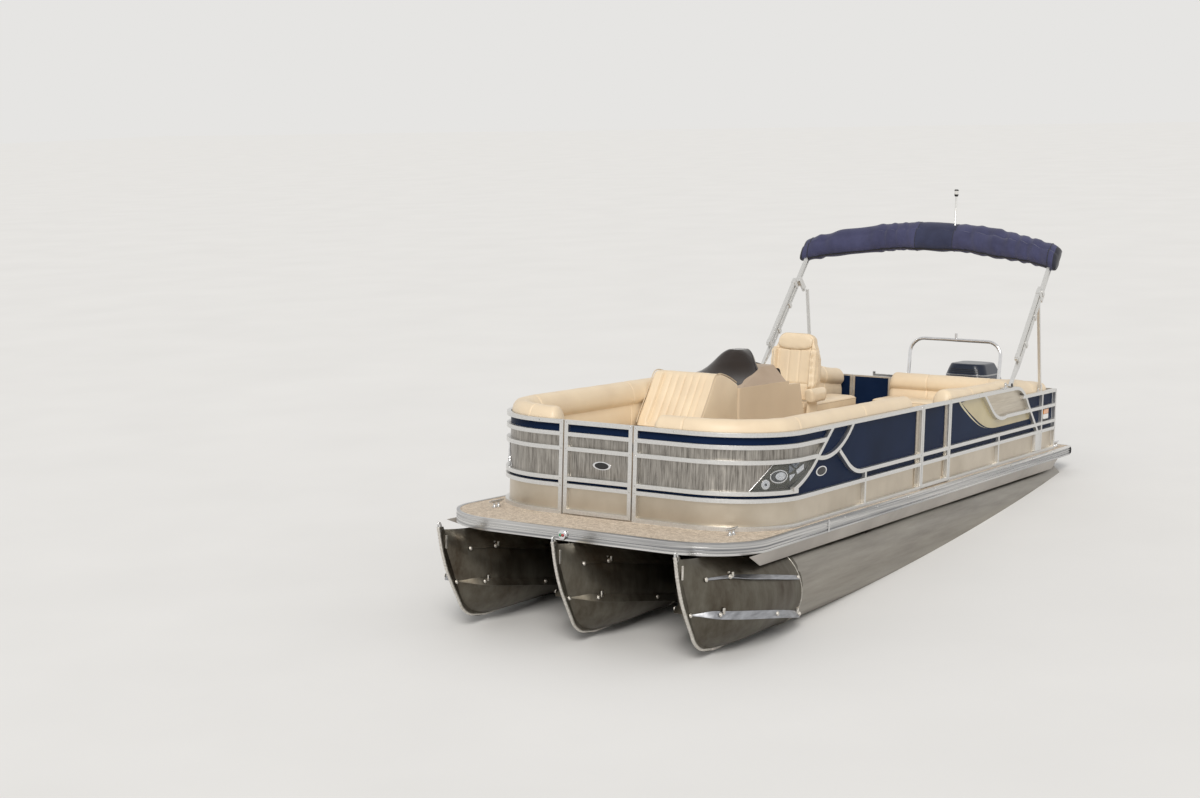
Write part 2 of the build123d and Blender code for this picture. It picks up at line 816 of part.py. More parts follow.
helm_seat_fore = -1900
helm_seat_aft = -2900
helm_seat_depth = 520
helm_seat_window = (helm_seat_aft, helm_seat_fore, -2 * fence_half, 0)
helm_bolster_window = (stern_inside + seat_gap, helm_seat_fore, -2 * fence_half, 0)
lounge("aft_starboard_seat", helm_seat_window, helm_seat_depth)
with BuildPart() as aft_starboard_bolster:
    strip_piece(bolster_out, bolster_in, helm_bolster_window, base_height + seat_gap, aft_bolster_height)
    crown(aft_starboard_bolster)
save(aft_starboard_bolster.part, "aft_starboard_seat_bolster")

# Helm console with its dash cowl, windscreen, wheel and throttle

wheel_x = console_aft - 70
wheel_z = deck_top + 740
wheel_lean = 25
wheel_shaft = 10
wheel_hub = 12
wheel_plane = Plane(
    origin=(wheel_x, chair_y, wheel_z),
    x_dir=(0, 1, 0),
    z_dir=(-cos(radians(wheel_lean)), 0, sin(radians(wheel_lean))),
)
with BuildPart() as console:
    with BuildSketch(side_plane(console_port)):
        with BuildLine():
            Polyline(
                (console_fore, 0),
                (console_fore, console_height),
                (console_aft + 20, console_height),
                (console_aft - 30, 0),
                close=True,
            )
        make_face()
    extrude(amount=console_port - console_starboard)
    fillet(console.edges().filter_by(Axis.Z), console_corner)
    # Wing walls that run aft on both sides of the wheel
    for y in (console_port, console_starboard + wing_wall):
        with BuildSketch(side_plane(y)) as wing:
            with BuildLine():
                Polyline(
                    (console_aft + 60, 0),
                    (console_aft + 60, wing_height),
                    (console_aft - wing_back, wing_height),
                    (console_aft - wing_back - 116, 413),
                    (console_aft - wing_back - 130, 0),
                    close=True,
                )
            make_face()
            fillet(wing.vertices().group_by(Axis.X)[0] + wing.vertices().sort_by(Axis.Z)[-1:], 12)
        extrude(amount=wing_wall)
    for radius, low, high in ((30, -100, -wheel_hub - 1), (wheel_shaft, -wheel_hub - 2, 3)):
        with BuildSketch(wheel_plane.offset(low)):
            Circle(radius)
        extrude(amount=high - low)
save(console.part, "console")

# Dash cowl, a hipped hood
# Each row: height above the deck, fore end, aft end, inset from the console's sides
cowl_rows = ((console_height + seat_gap, 380, -600, 8), (900, -330, -620, 150))
cowl_corner = 40
helm_half = (console_port - console_starboard) / 2
with BuildPart() as dash_cowl:
    for height, fore, aft, inset in cowl_rows:
        with BuildSketch(Plane.XY.offset(deck_top + height)):
            with Locations(((fore + aft) / 2, chair_y)):
                RectangleRounded(fore - aft, 2 * (helm_half - inset), cowl_corner)
    loft()
save(dash_cowl.part, "dash_cowl")

# Domed windscreen, open aft
# Each row: height above the deck, fore end, half width, corner radius
screen_rows = (
    (console_height + seat_gap, 372, 366, 120),
    (830, 150, 290, 220),
    (900, 10, 222, 210),
    (980, -95, 160, 150),
    (1050, -200, 60, 50),
)
screen_back = -420
screen_wall = 6
ridge = cowl_rows[-1][0]
with BuildPart() as windscreen:
    for inset, aft, mode in ((0, screen_back, Mode.ADD), (screen_wall, screen_back - 200, Mode.SUBTRACT)):
        for height, fore, half, radius in screen_rows:
            drop = inset if height > screen_rows[0][0] else 0
            with BuildSketch(Plane.XY.offset(deck_top + height - drop)):
                with Locations(((fore - inset + aft) / 2, chair_y)):
                    RectangleRounded(fore - inset - aft, 2 * (half - inset), radius - inset)
        loft(mode=mode)
    # The lower edge follows the cowl's hips up to its ridge
    with BuildSketch(side_plane(0)):
        with BuildLine():
            Polyline(
                (350, console_height - 1),
                (cowl_rows[-1][1], ridge + 2),
                (screen_back - 1, ridge + 2),
                (screen_back - 1, console_height - 60),
                (350, console_height - 60),
                close=True,
            )
        make_face()
    extrude(amount=2 * fence_half, mode=Mode.SUBTRACT)
    add(dash_cowl.part, mode=Mode.SUBTRACT)
save(windscreen.part, "windscreen")

with BuildPart() as helm_wheel:
    with BuildSketch(Plane(wheel_plane.origin, x_dir=wheel_plane.z_dir, z_dir=wheel_plane.x_dir)):
        with Locations((0, 175)):
            Circle(14)
    revolve(axis=Axis(wheel_plane.origin, wheel_plane.z_dir))
    with BuildSketch(wheel_plane.offset(-wheel_hub)):
        Circle(40)
        with PolarLocations(0, 3):
            with Locations((85, 0)):
                Rectangle(180, 26)
        Circle(wheel_shaft + bearing_gap, mode=Mode.SUBTRACT)
    extrude(amount=16)
save(helm_wheel.part, "helm_wheel")

# Captain's chair on a pedestal

chair_plane = Plane(origin=(chair_x, chair_y, deck_top))
seat_low = chair_seat_height - chair_seat_thick
plate_thick = 12
foot_radius = 170
column_radius = 38
seat_plate_radius = 95
with BuildPart() as chair_pedestal:
    for radius, low, high in (
        (foot_radius, 0, plate_thick),
        (column_radius, 0, seat_low - seat_gap),
        (seat_plate_radius, seat_low - plate_thick, seat_low - seat_gap),
    ):
        with BuildSketch(chair_plane.offset(low)):
            Circle(radius)
        extrude(amount=high - low)
save(chair_pedestal.part, "chair_pedestal")

with BuildPart() as chair_seat:
    with BuildSketch(chair_plane.offset(seat_low)):
        with Locations((10, 0)):
            RectangleRounded(chair_depth, chair_width, 60)
    extrude(amount=chair_seat_thick)
    fillet(chair_seat.faces().sort_by(Axis.Z)[-1].edges(), 35)
save(chair_seat.part, "chair_seat")

# Back with a rounded head, leaning aft, and a wing along each side
back_half = 266
back_foot_x = chair_x - chair_depth / 2 + 130
back_plane = Plane(
    origin=(back_foot_x, chair_y, deck_top + chair_seat_height),
    x_dir=(0, 1, 0),
    z_dir=(cos(radians(chair_back_lean)), 0, sin(radians(chair_back_lean))),
)
# Half outline of the back from its foot to its head: distance to the side and height above the seat
back_line = ((240, 0), (back_half, 200), (250, 460), (200, 610), (165, 672), (100, 690))
with BuildPart() as chair_back:
    with BuildSketch(back_plane) as outline:
        with BuildLine():
            for side in (1, -1):
                foot, hip, waist, shoulder, temple, head = [(side * y, z) for y, z in back_line]
                Line(foot, hip)
                ThreePointArc(hip, waist, shoulder)
                ThreePointArc(shoulder, temple, head)
            Line((-back_line[0][0], 0), back_line[0])
            Line((-back_line[-1][0], back_line[-1][1]), back_line[-1])
        make_face()
    extrude(outline.sketch, amount=-chair_back_thick)
    with BuildSketch(back_plane) as wings:
        with Locations((-216, 330), (216, 330)):
            RectangleRounded(90, 440, 44)
    extrude(wings.sketch, amount=55, taper=8)
    low_z = deck_top + chair_seat_height + seat_gap
    box_between(
        (chair_x - chair_depth, chair_x + chair_depth),
        (chair_y - chair_width, chair_y + chair_width),
        (low_z - 100, low_z),
        mode=Mode.SUBTRACT,
    )
save(chair_back.part, "chair_back")

# Padded arms on panels that stand against the sides of the seat
arm_in = 272
arm_fore = 170
arm_panel = 28
with BuildPart() as chair_arms:
    for side in (1, -1):
        panel_in = chair_width / 2 + seat_gap
        panel_y = sorted(chair_y + side * out for out in (panel_in, panel_in + arm_panel))
        box_between((chair_x - 100, chair_x + 130), panel_y,
                    (deck_top + seat_low + 20, deck_top + chair_arm_height - chair_arm_thick / 2))
        with BuildSketch(Plane.YZ.offset(chair_x - 170)):
            with Locations((chair_y + side * (arm_in + chair_arm_wide / 2),
                            deck_top + chair_arm_height - chair_arm_thick / 2)):
                RectangleRounded(chair_arm_wide, chair_arm_thick, 45)
        extrude(amount=arm_fore + 170)
save(chair_arms.part, "chair_arms")

# Folding top, stowed in its boot and propped on braces

top_pivot_z = deck_top + top_pivot_height
rail_top = deck_top + fence_height
lean = radians(top_lean)
leg_up = Vector(-cos(lean), 0, sin(lean))
leg_front = Vector(sin(lean), 0, cos(lean))
pin_radius = 7
ear = 10
pin_reach = top_leg_y + leg_size / 2 + 4
brace_hold = 1180


def leg_plane(y, out=0):
    """Plane through the top's pivot line: x runs to port, y up along the legs."""
    origin = Vector(top_pivot_x, y, top_pivot_z) + leg_front * out
    return Plane(origin=origin, x_dir=(0, 1, 0), z_dir=Vector(0, 1, 0).cross(leg_up))


with BuildPart() as top_mounts:
    for side in (1, -1):
        low, high = sorted((side * (fence_half - half_rail), side * (fence_half + half_rail)))
        box_between((top_pivot_x - 60, top_pivot_x + 60), (low, high), (rail_top, rail_top + 14))
        ear_y = sorted((side * (fence_half + half_rail), side * (fence_half + half_rail - ear)))
        box_between((top_pivot_x - 22, top_pivot_x + 22), ear_y, (rail_top + 14, top_pivot_z + 20))
        with BuildSketch(Plane.XZ.offset(-side * (fence_half + half_rail))):
            with Locations((top_pivot_x, top_pivot_z)):
                Circle(pin_radius)
        extrude(amount=-side * (pin_reach - fence_half - half_rail))
save(top_mounts.part, "top_mounts")

# Braces that prop the folding top, each on a pin in a fork on the aft rail

brace_size = 26
brace_foot_z = deck_top + brace_foot_height
brace_tip_z = deck_top + brace_tip_height
brace_length = hypot(brace_tip_x - brace_foot_x, brace_tip_z - brace_foot_z)
brace_lean = degrees(atan2(brace_tip_x - brace_foot_x, brace_tip_z - brace_foot_z))
aft_rail_top = deck_top + aft_top_level + half_rail
fork_gap = 1
with BuildPart() as brace_forks:
    for side in (1, -1):
        for out in (1, -1):
            inner = side * fence_half + out * (brace_size / 2 + fork_gap)
            outer = inner + out * 5
            box_between((brace_foot_x - 16, brace_foot_x + 16), sorted((inner, outer)),
                        (aft_rail_top, brace_foot_z + 14))
        box_between((brace_foot_x - 40, brace_foot_x + 40),
                    (side * fence_half - brace_size / 2 - 6, side * fence_half + brace_size / 2 + 6),
                    (aft_rail_top, aft_rail_top + 8))
        with BuildSketch(Plane.XZ.offset(-side * fence_half - brace_size / 2 - 5)):
            with Locations((brace_foot_x, brace_foot_z)):
                Circle(pin_radius)
        extrude(amount=brace_size + 10)
save(brace_forks.part, "brace_forks")

with BuildPart() as top_braces:
    for side in (1, -1):
        foot = Plane(
            origin=(brace_foot_x, side * fence_half, brace_foot_z),
            x_dir=(0, 1, 0),
            z_dir=(sin(radians(brace_lean)), 0, cos(radians(brace_lean))),
        )
        with BuildSketch(foot.offset(-22)):
            Rectangle(brace_size, brace_size)
        extrude(amount=brace_length + 22)
        with BuildSketch(Plane.XZ.offset(-side * fence_half - brace_size)):
            with Locations((brace_foot_x, brace_foot_z)):
                Circle(pin_radius + bearing_gap)
        extrude(amount=2 * brace_size, mode=Mode.SUBTRACT)
save(top_braces.part, "top_braces")

with BuildPart() as top_legs:
    for side in (1, -1):
        for out, start, end in ((0, -20, leg_reach), (55, 260, 1140)):
            with BuildSketch(leg_plane(side * top_leg_y, out).offset(-leg_size / 2)):
                with Locations((0, (start + end) / 2)):
                    Rectangle(leg_size, end - start)
            extrude(amount=leg_size)
        for along in (300, 1100):
            with BuildSketch(leg_plane(side * top_leg_y).offset(-leg_size / 2 - 3)):
                with Locations((0, along)):
                    Rectangle(leg_size + 6, 46)
            extrude(amount=leg_size + 61)
        low, high = sorted((side * (top_leg_y - leg_size / 2 - 22), side * (top_leg_y - leg_size / 2 + 1)))
        with BuildSketch(leg_plane(0).offset(-150)):
            with Locations(((low + high) / 2, brace_hold)):
                Rectangle(high - low, 60)
        extrude(amount=150 + leg_size / 2)
        with BuildSketch(Plane.XZ.offset(-side * (top_leg_y - leg_size))):
            with Locations((top_pivot_x, top_pivot_z)):
                Circle(pin_radius + bearing_gap)
        extrude(amount=-side * 2 * leg_size, mode=Mode.SUBTRACT)
save(top_legs.part, "top_legs")

mast_x = -3060
mast_y = 225
mast_radius = 9
lamp_radius = 22
mast_low = deck_top + 2180
lamp_low = deck_top + 2530
lamp_high = lamp_low + 55
with BuildPart() as light_mast:
    for radius, low, high in ((mast_radius, mast_low, lamp_low), (lamp_radius, lamp_low, lamp_high)):
        with BuildSketch(Plane.XY.offset(low)):
            with Locations((mast_x, mast_y)):
                Circle(radius)
        extrude(amount=high - low)
save(light_mast.part, "light_mast")

boot_thick = 240
with BuildPart() as top_boot:
    with BuildSketch(leg_plane(0).offset(-boot_thick / 2)):
        with BuildLine():
            ThreePointArc((-1330, 1440), (0, 1590), (1330, 1440))
            Line((1330, 1440), (1365, 1700))
            ThreePointArc((1365, 1700), (0, 1960), (-1365, 1700))
            Line((-1365, 1700), (-1330, 1440))
        make_face()
    extrude(amount=boot_thick)
    fillet(top_boot.edges().filter_by(GeomType.CIRCLE), 90)
    for side in (1, -1):
        with BuildSketch(leg_plane(side * top_leg_y).offset(-leg_size / 2 - seat_gap)):
            with Locations((0, leg_reach - 200)):
                Rectangle(leg_size + 2 * seat_gap, 400 + 2 * seat_gap)
        extrude(amount=leg_size + 2 * seat_gap, mode=Mode.SUBTRACT)
    with BuildSketch(Plane.XY.offset(mast_low - seat_gap)):
        with Locations((mast_x, mast_y)):
            Circle(mast_radius + seat_gap)
    extrude(amount=500, mode=Mode.SUBTRACT)
save(top_boot.part, "top_boot")

# Tow bar on the stern deck

tow_top = deck_top + tow_height
tow_top_x = tow_foot_x - tow_lean
foot_plate = 10
foot_disc = 55
knob_radius = 16
knob_tall = 70
with BuildPart() as tow_bar:
    with BuildLine() as tow_line:
        FilletPolyline(
            (tow_foot_x, tow_half, deck_top + foot_plate / 2),
            (tow_top_x, tow_half, tow_top),
            (tow_top_x, -tow_half, tow_top),
            (tow_foot_x, -tow_half, deck_top + foot_plate / 2),
            radius=tow_corner,
        )
    with BuildSketch(Plane(origin=tow_line.line @ 0, z_dir=tow_line.line % 0)):
        Circle(tow_tube / 2)
    sweep()
    for side in (1, -1):
        with BuildSketch(Plane.XY.offset(deck_top)):
            with Locations((tow_foot_x, side * tow_half)):
                Circle(foot_disc)
        extrude(amount=foot_plate)
    with BuildSketch(Plane.XY.offset(tow_top)):
        with Locations((tow_top_x, 0)):
            Circle(knob_radius)
    extrude(amount=knob_tall)
save(tow_bar.part, "tow_bar")

# Boarding ladder, folded up on the stern deck, in forks that stand out past the deck's edge

ladder_y = (-895, -585)
ladder_rail = 28
ladder_length = 620
ladder_lean = 6
ladder_pin = 6
ladder_x = stern_edge - 22
ladder_z = deck_top + 28
ladder_steps = 3
ladder_pitch = 200
fork_plate = 5
with BuildPart() as ladder_forks:
    for y in ladder_y:
        for out in (1, -1):
            inner = y + out * (ladder_rail / 2 + fork_gap)
            plate = sorted((inner, inner + out * fork_plate))
            box_between((ladder_x - 14, stern_edge + 60), plate, (deck_top + trim_lip, ladder_z + 14))
        foot = ladder_rail / 2 + fork_gap + fork_plate
        box_between((stern_edge + 4, stern_edge + 60), (y - foot, y + foot),
                    (deck_top + trim_lip, deck_top + trim_lip + 4))
        with BuildSketch(Plane.XZ.offset(-y - foot + 1)):
            with Locations((ladder_x, ladder_z)):
                Circle(ladder_pin)
        extrude(amount=2 * foot - 2)
save(ladder_forks.part, "ladder_forks")

ladder_up = Vector(sin(radians(ladder_lean)), 0, cos(radians(ladder_lean)))
with BuildPart() as ladder:
    for y in ladder_y:
        foot = Plane(origin=(ladder_x, y, ladder_z), x_dir=(0, 1, 0), z_dir=ladder_up)
        with BuildSketch(foot.offset(-ladder_rail / 2)):
            RectangleRounded(ladder_rail, ladder_rail, 6)
        extrude(amount=ladder_length)
    for n in range(ladder_steps):
        middle = Vector(ladder_x, sum(ladder_y) / 2, ladder_z) + ladder_up * (130 + ladder_pitch * n)
        with BuildSketch(Plane(origin=middle, x_dir=(0, 1, 0), z_dir=ladder_up)):
            Rectangle(ladder_y[1] - ladder_y[0], ladder_rail - 4)
        extrude(amount=50)
    with BuildSketch(Plane.XZ.offset(-ladder_y[1] - ladder_rail)):
        with Locations((ladder_x, ladder_z)):
            Circle(ladder_pin + bearing_gap)
    extrude(amount=ladder_y[1] - ladder_y[0] + 2 * ladder_rail, mode=Mode.SUBTRACT)
save(ladder.part, "ladder")

# Transom pod between the tubes, and the outboard motor

with BuildPart() as motor_pod:
    with BuildSketch(Plane.XZ.offset(-330)):
        with BuildLine():
            Polyline(
                (tube_stern - seat_gap, 470),
                (tube_stern - seat_gap, 140),
                (transom_x, 60),
                (transom_x, 470),
                close=True,
            )
        make_face()
    extrude(amount=660)
save(motor_pod.part, "motor_pod")

clamp_half = 92
clamp_plate = 26
tilt_pin = 14
with BuildPart() as motor_bracket:
    for side in (1, -1):
        low, high = sorted((side * clamp_half, side * (clamp_half + clamp_plate)))
        with BuildSketch(Plane.XZ.offset(-high)):
            with BuildLine():
                Polyline(
                    (transom_x - seat_gap, 120),
                    (transom_x - seat_gap, 470),
                    (tilt_x + 30, 540),
                    (tilt_x - 30, 540),
                    (tilt_x - 60, 440),
                    (transom_x - 46, 120),
                    close=True,
                )
            make_face()
        extrude(amount=clamp_plate)
    with BuildSketch(Plane.XZ.offset(-clamp_half - 10)):
        with Locations((tilt_x, tilt_z)):
            Circle(tilt_pin)
    extrude(amount=2 * clamp_half + 20)
save(motor_bracket.part, "motor_bracket")

swivel_half = clamp_half - 3
steer_pin = 22
with BuildPart() as motor_swivel:
    with BuildSketch(Plane.XZ.offset(-swivel_half)):
        with Locations((tilt_x, tilt_z)):
            Circle(34)
    extrude(amount=2 * swivel_half)
    box_between((steer_x, tilt_x), (-40, 40), (tilt_z - 30, tilt_z + 30))
    box_between((steer_x, steer_x + 90), (-40, 40), (200, tilt_z))
    with BuildSketch(Plane.XY.offset(180)):
        with Locations((steer_x, 0)):
            Circle(46)
    extrude(amount=tilt_z + 30 - 180)
    with BuildSketch(Plane.XZ.offset(-swivel_half)):
        with Locations((tilt_x, tilt_z)):
            Circle(tilt_pin + bearing_gap)
    extrude(amount=2 * swivel_half, mode=Mode.SUBTRACT)
    with BuildSketch(Plane.XY.offset(100)):
        with Locations((steer_x, 0)):
            Circle(steer_pin + bearing_gap)
    extrude(amount=600, mode=Mode.SUBTRACT)
save(motor_swivel.part, "motor_swivel")

leg_fore = steer_x - 70
case_fore = leg_x + 175
case_aft = leg_x - 95
prop_shaft = 10

# Sections of the leg: height, shift along the boat, length, width
leg_sections = ((-104, 0, 230, 92), (150, -10, 200, 110), (600, -45, 320, 190))
# Side line of the skeg: shift along the boat from the leg, height from the propeller's axis
skeg_line = ((110, 200), (90, 0), (45, -200), (-35, -200), (-60, 0), (-75, 200))
with BuildPart() as motor_leg:
    with BuildSketch(Plane.XY.offset(120)):
        with Locations((steer_x, 0)):
            Circle(steer_pin)
    extrude(amount=tilt_z + 90 - 120)
    for low, high in ((120, 174), (tilt_z + 36, tilt_z + 90)):
        box_between((leg_fore - 60, steer_x), (-36, 36), (low, high))
    for height, shift, length, width in leg_sections:
        with BuildSketch(Plane.XY.offset(height)):
            with Locations((leg_x + shift, 0)):
                Ellipse(length / 2, width / 2)
    loft()
    with BuildSketch(Plane.XY.offset(leg_sections[0][0] - 4)):
        with Locations((leg_x - 35, 0)):
            RectangleRounded(400, 230, 80)
    extrude(amount=12)
    with BuildSketch(Plane.XZ.offset(-28)):
        with BuildLine():
            Polyline(*[(leg_x + shift, prop_z + rise) for shift, rise in skeg_line], close=True)
        make_face()
    extrude(amount=56)
    with BuildSketch(Plane.XZ):
        with BuildLine():
            Line((case_fore, prop_z), (case_aft, prop_z))
            Line((case_aft, prop_z), (case_aft, prop_z + 46))
            ThreePointArc((case_aft, prop_z + 46), (leg_x + 55, prop_z + 54), (case_fore, prop_z + 14))
            Line((case_fore, prop_z + 14), (case_fore, prop_z))
        make_face()
    revolve(axis=Axis((0, 0, prop_z), (1, 0, 0)))
    with BuildSketch(Plane.YZ.offset(case_aft)):
        with Locations((0, prop_z)):
            Circle(prop_shaft)
    extrude(amount=-130)
save(motor_leg.part, "motor_leg")

# Each section of the cowl: height, shift along the boat from the leg, length, width
cowl_foot = leg_sections[-1][0] + seat_gap
cowl_sections = (
    (cowl_foot, -45, 520, 390),
    (800, -80, 660, 500),
    (1150, -75, 640, 480),
    (1325, -45, 500, 370),
)
cowl_round = 120
with BuildPart() as motor_cowl:
    for height, shift, length, width in cowl_sections:
        with BuildSketch(Plane.XY.offset(height)):
            with Locations((leg_x + shift, 0)):
                RectangleRounded(length, width, cowl_round)
    loft()
    fillet(motor_cowl.faces().sort_by(Axis.Z)[-1].edges(), 30)
save(motor_cowl.part, "motor_cowl")

blade_count = 3
blade_pitch = 60
blade_thick = 8
hub_radius = 48
hub_length = 110
hub_fore = case_aft - 3
with BuildPart() as propeller:
    with BuildSketch(Plane.YZ.offset(hub_fore)):
        with Locations((0, prop_z)):
            Circle(hub_radius)
            Circle(prop_shaft + bearing_gap, mode=Mode.SUBTRACT)
    extrude(amount=-hub_length)
    for n in range(blade_count):
        turn = radians(360 / blade_count * n)
        blade = Plane(
            origin=(hub_fore - hub_length / 2, 0, prop_z),
            x_dir=(0, cos(turn), sin(turn)),
            z_dir=(0, -sin(turn), cos(turn)),
        )
        with BuildSketch(blade.rotated((blade_pitch, 0, 0)).offset(-blade_thick / 2)):
            with Locations((112, 0)):
                Ellipse(74, 62)
        extrude(amount=blade_thick)
save(propeller.part, "propeller")
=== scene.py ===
import bisect
import math

import bmesh
import bpy
from mathutils import Matrix, Vector, noise
from mathutils.bvhtree import BVHTree


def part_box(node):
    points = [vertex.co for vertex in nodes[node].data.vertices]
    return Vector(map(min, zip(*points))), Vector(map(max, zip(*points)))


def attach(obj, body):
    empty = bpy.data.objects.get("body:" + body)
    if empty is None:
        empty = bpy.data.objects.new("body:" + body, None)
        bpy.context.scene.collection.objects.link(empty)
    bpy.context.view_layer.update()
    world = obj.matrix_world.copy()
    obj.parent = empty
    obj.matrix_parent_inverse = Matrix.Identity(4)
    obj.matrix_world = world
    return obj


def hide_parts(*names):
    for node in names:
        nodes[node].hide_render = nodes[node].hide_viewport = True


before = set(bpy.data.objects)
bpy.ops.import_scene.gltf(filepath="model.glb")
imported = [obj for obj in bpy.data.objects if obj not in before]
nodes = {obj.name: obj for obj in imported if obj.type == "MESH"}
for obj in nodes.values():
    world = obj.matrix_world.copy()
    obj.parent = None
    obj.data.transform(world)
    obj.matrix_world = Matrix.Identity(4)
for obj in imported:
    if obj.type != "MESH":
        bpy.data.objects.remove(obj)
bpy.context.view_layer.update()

# Sizes in metres, in the frame's axes: +X bow, +Y port, +Z up

AHEAD, PORT, UP = Vector((1, 0, 0)), Vector((0, 1, 0)), Vector((0, 0, 1))
SIDES = (("port", 1), ("starboard", -1))

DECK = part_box("deck_panel")[1].z
DECK_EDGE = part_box("deck_trim")[1].y
FENCE_FRONT = 3.280
FENCE_HALF = 1.230
FENCE_CORNER = 0.620
CORNER_X = FENCE_FRONT - FENCE_CORNER
RAIL = 0.032
# Outer face of the fence's sheets, outward from the rails' centre line, and a place just clear of it
SKIN = -RAIL / 2 - 0.0003
ON_SKIN = SKIN + 0.0002
# Heights of the rails above the deck
FOOT_RAIL, LOW_RAIL, MID_RAIL, TOP_RAIL = 0.016, 0.220, 0.297, 0.700

# Pivot of the folded top, amidships, and the directions along its legs and out of its front
TOP_PIVOT = Vector((-1.820, 0, DECK + 0.754))
TOP_LEAN = math.radians(47.6)
TOP_UP = Vector((-math.cos(TOP_LEAN), 0, math.sin(TOP_LEAN)))
TOP_FRONT = Vector((math.sin(TOP_LEAN), 0, math.cos(TOP_LEAN)))

# Swivel of the captain's chair, and the directions out of and up its back
CHAIR_X, CHAIR_Y = -1.350, -0.7925
CHAIR_LEAN = math.radians(8)
CHAIR_FACE = Vector((math.cos(CHAIR_LEAN), 0, math.sin(CHAIR_LEAN)))
CHAIR_RISE = Vector((-math.sin(CHAIR_LEAN), 0, math.cos(CHAIR_LEAN)))

# The photograph's viewpoint, fitted to the boat's straight and paired lines
CAMERA_RIGHT = (-0.51140316, 0.85900013, 0.02419891)
CAMERA_UP = (-0.07189206, -0.07082791, 0.99489444)
CAMERA_BACK = (0.85632841, 0.50705244, 0.09797691)
CAMERA_PLACE = (15.444, 7.063, 2.864)
LENS_MM, SENSOR_MM = 57.37, 36
VIEW_DEPTH = 500

# The floor lies in the plane of the running waterline
FLOOR_NORMAL = Vector((0.0795, -0.0114, 0.9968)).normalized()
FLOOR_PLACE = Vector((2.75, 0.985, -0.195))
FLOOR_HALF = 150
FLOOR_DARK, FLOOR_LIGHT = (0.785, 0.785, 0.785), (0.81, 0.81, 0.81)

KEY_FROM = Vector((0.82, 0.40, 0.62))
KEY_ENERGY, KEY_SPREAD, KEY_COLOR = 1.9, math.radians(24), (1.0, 0.965, 0.91)
SURROUND_COLOR = (1, 0.990, 0.971, 1)
SURROUND_LIGHT, SURROUND_SEEN = 0.62, 0.791


def whole(bm):
    """All of a bmesh, as its operators take it."""
    return bm.verts[:] + bm.edges[:] + bm.faces[:]


def add_object(name, data):
    """New object in the scene."""
    obj = bpy.data.objects.new(name, data)
    bpy.context.scene.collection.objects.link(obj)
    return obj


# Camera, lights and floor


def camera():
    """Camera at the photograph's viewpoint."""
    data = bpy.data.cameras.new("camera")
    data.lens = LENS_MM
    data.sensor_width = SENSOR_MM
    data.clip_end = VIEW_DEPTH
    place = Matrix((CAMERA_RIGHT, CAMERA_UP, CAMERA_BACK)).transposed().to_4x4()
    place.translation = CAMERA_PLACE
    cam = add_object("camera", data)
    cam.matrix_world = place
    bpy.context.scene.camera = cam


def stage():
    """Pale floor, soft light from the bow's port side and a white surround."""
    mesh = bpy.data.meshes.new("floor")
    corners = [(x * FLOOR_HALF, y * FLOOR_HALF, 0) for x, y in ((-1, -1), (1, -1), (1, 1), (-1, 1))]
    mesh.from_pydata(corners, [], [(0, 1, 2, 3)])
    floor = add_object("floor", mesh)
    floor.rotation_mode = "QUATERNION"
    floor.rotation_quaternion = UP.rotation_difference(FLOOR_NORMAL)
    floor.location = FLOOR_PLACE
    pale = Surface("floor_pale", (0.80, 0.80, 0.80), 1.0, Specular_IOR_Level=0.0)
    pale.vary(FLOOR_DARK, FLOOR_LIGHT, pale.noise(0.6, 3))
    floor.data.materials.append(pale.mat)

    sun = bpy.data.lights.new("key", "SUN")
    sun.energy, sun.angle, sun.color = KEY_ENERGY, KEY_SPREAD, KEY_COLOR
    lamp = add_object("key", sun)
    lamp.rotation_mode = "QUATERNION"
    lamp.rotation_quaternion = KEY_FROM.to_track_quat("Z", "Y")

    world = bpy.data.worlds.new("surround")
    bpy.context.scene.world = world
    world.use_nodes = True
    tree = world.node_tree
    background = tree.nodes["Background"]
    background.inputs["Color"].default_value = SURROUND_COLOR
    rays = tree.nodes.new("ShaderNodeLightPath")
    seen = rays.outputs["Is Camera Ray"]
    for kind in ("Is Transmission Ray", "Is Glossy Ray"):
        most = tree.nodes.new("ShaderNodeMath")
        most.operation = "MAXIMUM"
        tree.links.new(seen, most.inputs[0])
        tree.links.new(rays.outputs[kind], most.inputs[1])
        seen = most.outputs[0]
    strength = tree.nodes.new("ShaderNodeMapRange")
    strength.inputs["To Min"].default_value = SURROUND_LIGHT
    strength.inputs["To Max"].default_value = SURROUND_SEEN
    tree.links.new(seen, strength.inputs["Value"])
    tree.links.new(strength.outputs["Result"], background.inputs["Strength"])


# Materials


